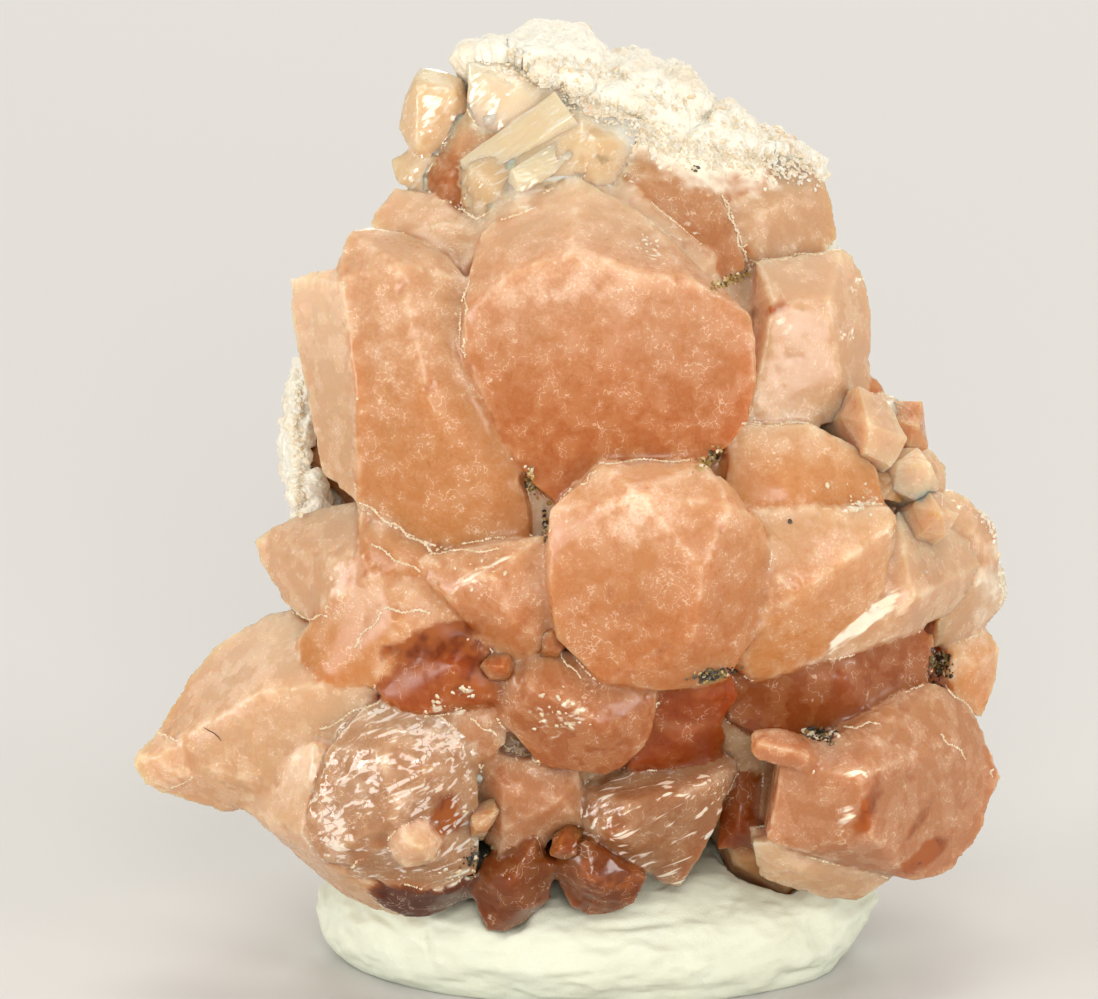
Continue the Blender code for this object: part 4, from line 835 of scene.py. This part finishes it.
def crumbs_piece(name, spots, seed, material):
    """Grains strewn over a surface: each spot is a place, its facing, a size, a flatness and a tone."""
    random_numbers = np.random.default_rng(seed)
    corners = []
    for place, facing, size, flatness, _ in spots:
        lean = Vector(random_numbers.normal(0.0, 0.25, 3))
        turn = np.array((facing + lean).to_track_quat("Z", "Y").to_matrix())
        spin = Matrix.Rotation(random_numbers.uniform(0.0, math.tau), 3, "Z")
        shape = CRUMB_CORNERS * random_numbers.uniform(0.70, 1.25, (len(CRUMB_CORNERS), 1))
        shape = shape * (size * random_numbers.uniform(0.8, 1.4), size * random_numbers.uniform(0.6, 1.0),
                         size * flatness)
        corners.append(shape @ np.array(spin).T @ turn.T + np.array(place))
    corners = np.concatenate(corners)
    faces = CRUMB_FACES[None] + len(CRUMB_CORNERS) * np.arange(len(spots))[:, None, None]
    mesh = bpy.data.meshes.new(name)
    mesh.from_pydata(corners, [], faces.reshape(-1, 3).tolist())
    put_points(mesh, corners)
    tones = np.repeat(np.array([spot[4] for spot in spots]), len(CRUMB_CORNERS), axis=0)
    paint(mesh, "tone", (*tones.T, np.ones(len(tones))))
    return finished(name, mesh, CRUMB_TRIANGLES, material)


def crumb_material(name, roughness, glow):
    """Crumbly grains, each in its own tone."""
    sheet = Sheet(name)
    tone = sheet.attribute("tone").outputs["Color"]
    darker = sheet.mix(1.0, tone, CRUMB_SHADE, blend="MULTIPLY")
    crumbly = sheet.effect(CRUMBLY, Tone=tone, Shade=darker, Fineness=1.0 / (0.5 * MM), Amount=1.0)
    sheet.feed(sheet.shader, Base_Color=crumbly["Color"], Roughness=roughness, Subsurface_Weight=glow,
               Subsurface_Scale=0.5 * MM, Subsurface_Radius=(1.0, 0.8, 0.6))
    return sheet.material


seam_spots = []
for line in SEAMS:
    for (start_across, start_up), (end_across, end_up) in zip(line, line[1:]):
        run, climb = end_across - start_across, end_up - start_up
        length = math.hypot(run, climb)
        steps = max(2, round(length * MM / SEAM_STEP))
        for share in (step / steps for step in range(steps)):
            wander = (0.12 * math.sin(share * 9.0 + start_across) + dice.uniform(-0.04, 0.04)) / length
            spot, facing, _ = seen_from_front(crystal_tree, start_across + run * share - wander * climb,
                                              start_up + climb * share + wander * run)
            if spot is not None:
                seam_spots.append((spot, facing, dice.uniform(*SEAM_SIZES), SEAM_FLATNESS, SEAM_TONE))
for edge in contacts:
    if dice.random() < HIDDEN_SEAM_SHARE:
        for spot in edge_points([edge]):
            place, facing, _, _ = crystal_tree.find_nearest(spot)
            seam_spots.append((place, facing, dice.uniform(*SEAM_SIZES), SEAM_FLATNESS, SEAM_TONE))
for middle, height, spread, count in CHIP_PLACES:
    for _ in range(count):
        spot, facing, _ = seen_from_front(crystal_tree, middle + dice.gauss(0.0, 0.5) * spread,
                                          height + dice.gauss(0.0, 0.35) * spread)
        if spot is not None:
            seam_spots.append((spot, facing, dice.uniform(*CHIP_SIZES), CHIP_FLATNESS, SEAM_TONE))
seam_quartz = crumbs_piece("seam_quartz", seam_spots, 31, crumb_material("cream_seam_quartz", 0.45, 0.3))

# ----------------------------------------------------------
# The sugar: loose-looking white quartz grains along the rim of the matrix, where it thins out over the
# crystals.  They grew on the crystals, and are stuck fast.
# two ends of a band on the front elevation, half its width, count, and least and most size, in millimetres
SUGAR_BANDS = (
    (-4.6, 30.4, 0.5, 29.2, 0.5, 120, 0.08, 0.22), (0.5, 28.8, 7.5, 25.8, 0.8, 420, 0.08, 0.26),
    (6.5, 25.4, 12.5, 23.8, 1.1, 420, 0.10, 0.28), (12.0, 24.2, 19.0, 22.9, 1.0, 420, 0.10, 0.28),
    (-3.0, 31.0, 6.0, 29.6, 0.6, 120, 0.12, 0.30), (6.0, 28.6, 18.0, 24.9, 0.6, 160, 0.12, 0.30),
    (31.6, -2.0, 32.2, -8.4, 0.7, 220, 0.10, 0.30), (30.2, -0.5, 31.5, -2.5, 0.6, 90, 0.10, 0.26),
    (-17.6, 9.0, -17.4, -1.0, 0.5, 200, 0.12, 0.34),
)
SUGAR_TONES = ((0.93, 0.88, 0.74), (0.90, 0.82, 0.66), (0.88, 0.76, 0.56))
SUGAR_FLATNESS = 0.45

matrix_tree = surface_tree(matrix.data)
sugar_spots = []
for start_across, start_up, end_across, end_up, half_width, count, least, most in SUGAR_BANDS:
    for _ in range(count):
        share = dice.random()
        across = start_across + (end_across - start_across) * share + dice.gauss(0.0, 0.3) * half_width
        up = start_up + (end_up - start_up) * share + dice.gauss(0.0, 0.6) * half_width
        hits = [seen_from_front(tree, across, up) for tree in (crystal_tree, matrix_tree)]
        hits = [hit for hit in hits if hit[0] is not None]
        if hits:
            spot, facing, _ = min(hits, key=lambda hit: hit[0].y)
            size = least + (most - least) * dice.random() ** 2
            sugar_spots.append((spot, facing, size * MM, SUGAR_FLATNESS, dice.choice(SUGAR_TONES)))
sugar_grains = crumbs_piece("sugar_grains", sugar_spots, 32, crumb_material("white_sugar_quartz", 0.5, 0.3))
sugar_grains.data.shade_flat()

# ----------------------------------------------------------
# The small points: little six-sided crystals of the same pink quartz, packed into the gaps between the large
# ones and rooted on them, and the long clear ones that lie side by side at the top
# middle on the front elevation, how far forward of its surroundings, radius, length, lean right and up, kind
SMALL_POINTS = (
    (22.3, 4.9, -0.2, 3.0, 5.4, 0.40, 0.45, "pink"), (24.6, 5.0, -0.5, 1.9, 4.2, 1.0, 0.6, "rosy"),
    (25.0, 1.6, -0.5, 2.3, 4.0, 0.8, 0.35, "blush"), (26.6, -1.0, -0.5, 1.9, 3.4, 0.6, 0.7, "pink"),
    (1.1, -24.0, 0.3, 1.1, 2.6, -0.2, -0.2, "amber"), (-4.9, -19.4, 0.0, 0.32, 0.9, 0.0, 0.6, "pale"),
    (-3.5, -11.6, -0.6, 1.3, 2.4, 0.2, 0.7, "tawny"), (0.2, -9.8, -0.6, 1.1, 2.0, 0.3, 0.8, "tawny"),
    (-4.6, -22.1, -0.5, 1.3, 2.4, 0.3, 0.7, "rosy"),
)
# a long crystal's tip and root on the front elevation, how far forward each is, its radius and kind
BLADES = (
    ((-5.4, 21.0), (2.6, 26.5), -0.7, 2.6, "yellow"), ((-3.0, 20.0), (3.6, 23.8), -0.7, 2.0, "yellow"),
    ((-4.6, 25.2), (0.6, 28.6), -0.6, 2.0, "clear"),
)
SUNK_SHARE = 0.25                     # how much of a small point's length its middle is set back
POINT_BEVEL = 0.06 * MM
POINT_TRIANGLES = 60000


def surroundings(tree, across, up, reach):
    """How deep the surface lies round about a place of the front elevation."""
    depths = []
    for step in range(8):
        angle = math.tau * step / 8.0
        spot, _, _ = seen_from_front(tree, across + reach * math.cos(angle), up + reach * math.sin(angle))
        if spot is not None:
            depths.append(spot.y)
    return sorted(depths)[len(depths) // 2] if depths else FRONT_MIDDLE.y


def small_point(work, middle, lean, radius, length, dice):
    """A short prism with a six-sided tip; its root end is left broad."""
    turn = lean.to_track_quat("Z", "Y").to_matrix().to_4x4()
    spin = Matrix.Rotation(dice.uniform(0.0, math.tau), 4, "Z")
    place = Matrix.Translation(middle)
    uneven = Matrix.Diagonal((dice.uniform(0.70, 1.0), dice.uniform(0.95, 1.25), 1.0, 1.0))
    prism = bmesh.ops.create_cone(work, cap_ends=True, segments=6, radius1=radius, radius2=radius * 0.94,
                                  depth=length, matrix=place @ turn @ spin @ uneven)["verts"]
    front = [vert for vert in prism if (turn.inverted() @ place.inverted() @ vert.co).z > 0.0]
    cap = next(face for face in work.faces if len(face.verts) == 6 and set(face.verts) == set(front))
    tip = bmesh.ops.poke(work, faces=[cap])["verts"][0]
    tip.co += turn.to_3x3() @ Vector((dice.uniform(-0.5, 0.5), dice.uniform(-0.5, 0.5), 0.75)) * radius
    for vert in front:
        vert.co += turn.to_3x3() @ Vector((0.0, 0.0, dice.uniform(-0.45, 0.25))) * radius
    return prism + [tip]


def points_piece(name, points, material, unevenness):
    """Crystals from their middle, lean, radius, length and kind, as one piece."""
    work = bmesh.new()
    body_layer = work.verts.layers.float_color.new("body")
    finish_layer = work.verts.layers.float_color.new("finish")
    for middle, lean, radius, length, kind in points:
        _, tip_tone, shine_here, lines_here = KINDS[kind]
        for vert in small_point(work, middle, lean, radius, length, dice):
            vert[body_layer] = (*tip_tone, lines_here)
            # finish: gloss, no crust, a little nicking and edge highlight painted all over, no crease
            vert[finish_layer] = (shine_here, 0.0, 0.3, 0.0)
    bmesh.ops.bevel(work, geom=list(work.edges), offset=POINT_BEVEL, offset_type="OFFSET", segments=1,
                    profile=0.5, affect="EDGES", clamp_overlap=True, material=-1)
    bmesh.ops.triangulate(work, faces=work.faces)
    mesh = bpy.data.meshes.new(name)
    work.to_mesh(mesh)
    work.free()
    mesh = evaluated_mesh(mesh, "SUBSURF", subdivision_type="SIMPLE", levels=2, render_levels=2)
    places, outward = points_of(mesh)
    rough = unevenness * (0.10 * grain(places, 1.2 * MM, 51) + 0.04 * grain(places, 0.4 * MM, 52))
    paint(mesh, "stain", np.zeros((4, len(places))))
    put_points(mesh, places + outward * (rough * MM)[:, None])
    piece = finished(name, mesh, POINT_TRIANGLES, material)
    piece.data.shade_flat()
    return piece


point_forms = []
for middle_across, middle_up, forward, radius, length, right, upward, kind in SMALL_POINTS:
    depth = surroundings(crystal_tree, middle_across, middle_up, radius * 1.6) - forward * MM
    rise_here = middle_up / math.cos(FRONT_TILT) * MM - (depth - FRONT_MIDDLE.y) * math.tan(FRONT_TILT)
    middle = Vector((FRONT_MIDDLE.x + middle_across * MM, depth, FRONT_MIDDLE.z + rise_here))
    lean = Vector((right, -1.0, upward)).normalized()
    point_forms.append((middle - lean * length * SUNK_SHARE * MM, lean, radius * MM, length * MM, kind))
small_points = points_piece("small_points", point_forms, crystals.data.materials[0], 1.0)

blade_forms = []
for tip_place, root_place, forward, radius, kind in BLADES:
    tip, root = (seen_from_front(crystal_tree, *place)[0] for place in (tip_place, root_place))
    lean = tip - root
    middle = (tip + root) / 2.0 + Vector((0.0, (radius * 0.5 - forward) * MM, 0.0))
    blade_forms.append((middle, lean.normalized(), radius * MM, lean.length - radius * 0.7 * MM, kind))
clear_blades = points_piece("clear_blades", blade_forms, clear_points.data.materials[0], 0.35)

# ----------------------------------------------------------
# The dark grains: tiny black, grey and olive crystals of iron minerals that grew in the gaps, some golden and
# some with a white coat.  They are stuck fast in the creases.
# middle on the front elevation, spread across and up, turn in degrees, count, and the shares of white and of
# golden grains
GRAIN_PLACES = (
    (11.4, -12.3, 1.1, 0.35, 12.0, 150, 0.06, 0.1), (27.4, -11.6, 0.7, 0.8, 0.0, 150, 0.10, 0.2),
    (18.8, -16.5, 1.1, 0.35, -10.0, 120, 0.30, 0.2), (-4.9, -24.9, 0.8, 0.4, 30.0, 90, 0.05, 0.1),
    (-1.3, 1.2, 0.3, 1.1, 15.0, 60, 0.20, 0.7), (-0.3, -1.8, 0.2, 1.1, 0.0, 40, 0.3, 0.6),
    (11.3, 2.9, 0.9, 0.35, 40.0, 70, 0.15, 0.8), (12.6, 15.3, 1.0, 0.22, 20.0, 90, 0.15, 0.8),
    (16.9, -1.6, 0.08, 0.08, 0.0, 3, 0.0, 0.0), (10.2, 23.2, 0.15, 0.15, 0.0, 4, 0.0, 0.0),
)
GRAIN_SIZES = (0.08 * MM, 0.22 * MM)
GRAIN_TONES = ((0.02, 0.017, 0.012), (0.045, 0.035, 0.02), (0.13, 0.10, 0.035), (0.09, 0.075, 0.055),
               (0.20, 0.15, 0.06))
GRAIN_WHITE = (0.78, 0.70, 0.54)
GRAIN_GOLD = ((0.46, 0.34, 0.11), (0.34, 0.22, 0.06), (0.56, 0.42, 0.18))

grain_spots = []
for middle, height, spread_across, spread_up, turn, count, white_share, gold_share in GRAIN_PLACES:
    for _ in range(count):
        along, athwart = dice.gauss(0.0, 0.6) * spread_across, dice.gauss(0.0, 0.6) * spread_up
        across, up = turned(along, athwart, 0.0, 0.0, -turn)
        spot, facing, _ = seen_from_front(crystal_tree, middle + across, height + up)
        tone = dice.choice(GRAIN_GOLD if dice.random() < gold_share else GRAIN_TONES)
        tone = GRAIN_WHITE if dice.random() < white_share else tone
        if spot is not None:
            grain_spots.append((spot, facing, dice.uniform(*GRAIN_SIZES), dice.uniform(0.4, 1.3), tone))
dark_grains = crumbs_piece("dark_grains", grain_spots, 33, crumb_material("dark_mineral", 0.38, 0.0))
dark_grains.data.shade_flat()

# ----------------------------------------------------------
# The lint: one short dark textile fibre that has settled on the large crystal at the left
# the fibre's course on the front elevation, in millimetres
LINT = ((-24.15, -15.95), (-23.85, -16.15), (-23.45, -16.35), (-23.15, -16.60), (-22.95, -16.90))
LINT_RADIUS = 0.035 * MM
LINT_SIDES = 6
LINT_BROWN = (0.07, 0.035, 0.02, 1.0)
LINT_TRIANGLES = 2000


def lint_material():
    sheet = Sheet("brown_lint")
    sheet.feed(sheet.shader, Base_Color=LINT_BROWN, Roughness=0.8)
    return sheet.material


lint_shape = bmesh.new()
course = []
for place in LINT:
    spot, facing, _ = seen_from_front(crystal_tree, *place)
    course.append(spot + facing * LINT_RADIUS * 0.8)
rings = []
for step, spot in enumerate(course):
    ahead = course[min(step + 1, len(course) - 1)] - course[max(step - 1, 0)]
    ahead = ahead.to_track_quat("Z", "Y").to_matrix()
    width = LINT_RADIUS * (0.5 if step in (0, len(course) - 1) else 1.0)
    turns = [math.tau * side / LINT_SIDES for side in range(LINT_SIDES)]
    rings.append([lint_shape.verts.new(spot + ahead @ Vector((math.cos(turn), math.sin(turn), 0.0)) * width)
                  for turn in turns])
for ring, following in zip(rings, rings[1:]):
    for side in range(LINT_SIDES):
        after = (side + 1) % LINT_SIDES
        lint_shape.faces.new((ring[side], ring[after], following[after], following[side]))
lint_shape.faces.new(reversed(rings[0]))
lint_shape.faces.new(rings[-1])
lint_mesh = bpy.data.meshes.new("lint")
lint_shape.to_mesh(lint_mesh)
lint_shape.free()
finished("lint", lint_mesh, LINT_TRIANGLES, lint_material())

# ----------------------------------------------------------
# The putty: a lump of off-white modelling putty, squeezed by hand round the specimen's foot and pressed flat
# underneath.  It has creases, a thumb's dent and fine skin marks.
PUTTY_VOXEL = 0.26 * MM
PUTTY_TRIANGLES = 90000
PUTTY_WHITE = (0.80, 0.84, 0.69, 1.0)
PUTTY_SHADE = (0.76, 0.77, 0.61, 1.0)
# a dent's middle on the front elevation, half its width and height, its turn in degrees, and its depth, in mm
DENTS = (
    (19.3, -30.3, 2.2, 1.6, 20.0, 0.65), (-8.4, -31.0, 0.22, 1.4, 10.0, 0.40),
    (22.6, -27.8, 0.9, 0.3, 40.0, 0.35), (-2.0, -31.0, 3.0, 1.2, -8.0, 0.35),
    (6.5, -29.6, 3.2, 0.35, 6.0, 0.30), (13.0, -31.5, 1.8, 1.4, 0.0, 0.35),
    (-11.8, -29.2, 1.8, 0.3, -35.0, 0.30), (1.5, -33.2, 2.4, 0.3, 4.0, 0.25),
)


def putty_material():
    """Matte, faintly waxy putty with skin marks."""
    sheet = Sheet("modelling_putty")
    patches = sheet.noise(5.0 * MM, detail=4.0, distortion=0.5)
    pores = sheet.noise(0.20 * MM, detail=2.0, distortion=0.8)
    skin = sheet.node("ShaderNodeTexWave", wave_type="RINGS", rings_direction="SPHERICAL")
    sheet.feed(skin, Vector=sheet.place, Scale=0.35 / MM, Distortion=9.0, Detail=2.0, Detail_Scale=0.6)
    pressed = sheet.times(skin.outputs["Fac"], sheet.ramp(patches, 0.45, 0.60, 0.0, 0.7))
    colour = sheet.mix(sheet.ramp(patches, 0.35, 0.7, 0.0, 0.6), PUTTY_WHITE, PUTTY_SHADE)
    colour = sheet.mix(sheet.ramp(pores, 0.30, 0.60, 0.30, 0.0), colour, PUTTY_SHADE)
    relief = sheet.bump(sheet.maths("ADD", pressed, pores), 0.05 * MM, 0.7)
    sheet.feed(sheet.shader, Base_Color=colour, Roughness=0.62, Normal=relief, Subsurface_Weight=0.2,
               Subsurface_Scale=1.0 * MM, Subsurface_Radius=(1.0, 0.9, 0.7))
    return sheet.material


putty_mesh = fine_copy("putty_base", PUTTY_VOXEL, 3)
places, outward = points_of(putty_mesh)
across, up, depth = elevation(places)
lumps = grain(places, 6.0 * MM, 21, octaves=2)
folds = grain(places * (1.0, 1.0, 2.2), 2.2 * MM, 22)
upper = np.clip(places[:, 2] / (1.0 * MM), 0.0, 1.0)
swell = (0.28 * lumps + 0.20 * folds - 0.05) * upper
for middle, height, half_width, half_height, turn, hollow in DENTS:
    along, athwart = turned(across, up, middle, height, turn)
    reach = (along / half_width) ** 2 + (athwart / half_height) ** 2
    swell -= hollow * np.exp(-1.5 * reach) * (outward[:, 1] < 0.2) * upper
put_points(putty_mesh, places + outward * (swell * MM)[:, None])
putty = finished("putty", putty_mesh, PUTTY_TRIANGLES, putty_material())
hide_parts("putty_base")

# ----------------------------------------------------------
# The studio: a pale floor, soft light from both sides, above and behind, and the camera in front, looking
# slightly down
FLOOR_SIZE = 12.0
FLOOR_COLOUR = (0.72, 0.71, 0.69, 1.0)
IMAGE_WIDTH = 1098
PIXEL = 0.07 * MM
SENSOR = 36.0
# each lamp's name, place, side length, power in watts and colour
LAMPS = (
    ("key", (0.05, -1.05, 0.45), 0.34, 5.3, (1.0, 0.97, 0.93)),
    ("left", (-1.05, -0.48, 0.20), 0.35, 6.4, (1.0, 0.98, 0.95)),
    ("right", (0.95, -0.75, 0.20), 0.38, 5.5, (1.0, 0.98, 0.95)),
    ("top", (0.10, 0.05, 1.15), 0.5, 4.0, (1.0, 0.97, 0.92)),
    ("back", (0.1, 1.1, 0.5), 0.5, 5.0, (1.0, 0.97, 0.92)),
)
WORLD_COLOUR = (1.0, 0.97, 0.93, 1.0)
WORLD_STRENGTH = 0.36


def floor_material():
    sheet = Sheet("pale_floor")
    sheet.feed(sheet.shader, Base_Color=FLOOR_COLOUR, Roughness=0.9)
    return sheet.material


floor_shape = bmesh.new()
bmesh.ops.create_grid(floor_shape, x_segments=1, y_segments=1, size=FLOOR_SIZE / 2.0)
floor_mesh = bpy.data.meshes.new("floor")
floor_shape.to_mesh(floor_mesh)
floor_shape.free()
floor_mesh.materials.append(floor_material())
placed("floor", floor_mesh)


def soft_light(name, place, size, power, colour):
    """A large square lamp that faces the specimen."""
    lamp = bpy.data.lights.new(name, "AREA")
    lamp.shape = "SQUARE"
    lamp.size = size
    lamp.energy = power
    lamp.color = colour
    light = placed(name, lamp)
    light.location = place
    light.rotation_euler = (Vector(place) - FRONT_MIDDLE).to_track_quat("Z", "Y").to_euler()


for lamp_values in LAMPS:
    soft_light(*lamp_values)

world = bpy.data.worlds.new("studio")
world.use_nodes = True
background = world.node_tree.nodes["Background"]
background.inputs["Color"].default_value = WORLD_COLOUR
background.inputs["Strength"].default_value = WORLD_STRENGTH
bpy.context.scene.world = world

lens = bpy.data.cameras.new("camera")
lens.sensor_width = SENSOR
lens.lens = SENSOR * VIEW_DISTANCE / (IMAGE_WIDTH * PIXEL)
lens.clip_end = 100.0
camera = placed("camera", lens)
camera.location = EYE
camera.rotation_euler = TOWARDS_EYE.to_track_quat("Z", "Y").to_euler()
bpy.context.scene.camera = camera
bpy.context.scene.view_settings.view_transform = "Standard"
cycles = bpy.context.scene.cycles
cycles.max_bounces = 5
cycles.diffuse_bounces = 2
cycles.glossy_bounces = 1
cycles.transmission_bounces = 3
cycles.caustics_reflective = False
cycles.caustics_refractive = False
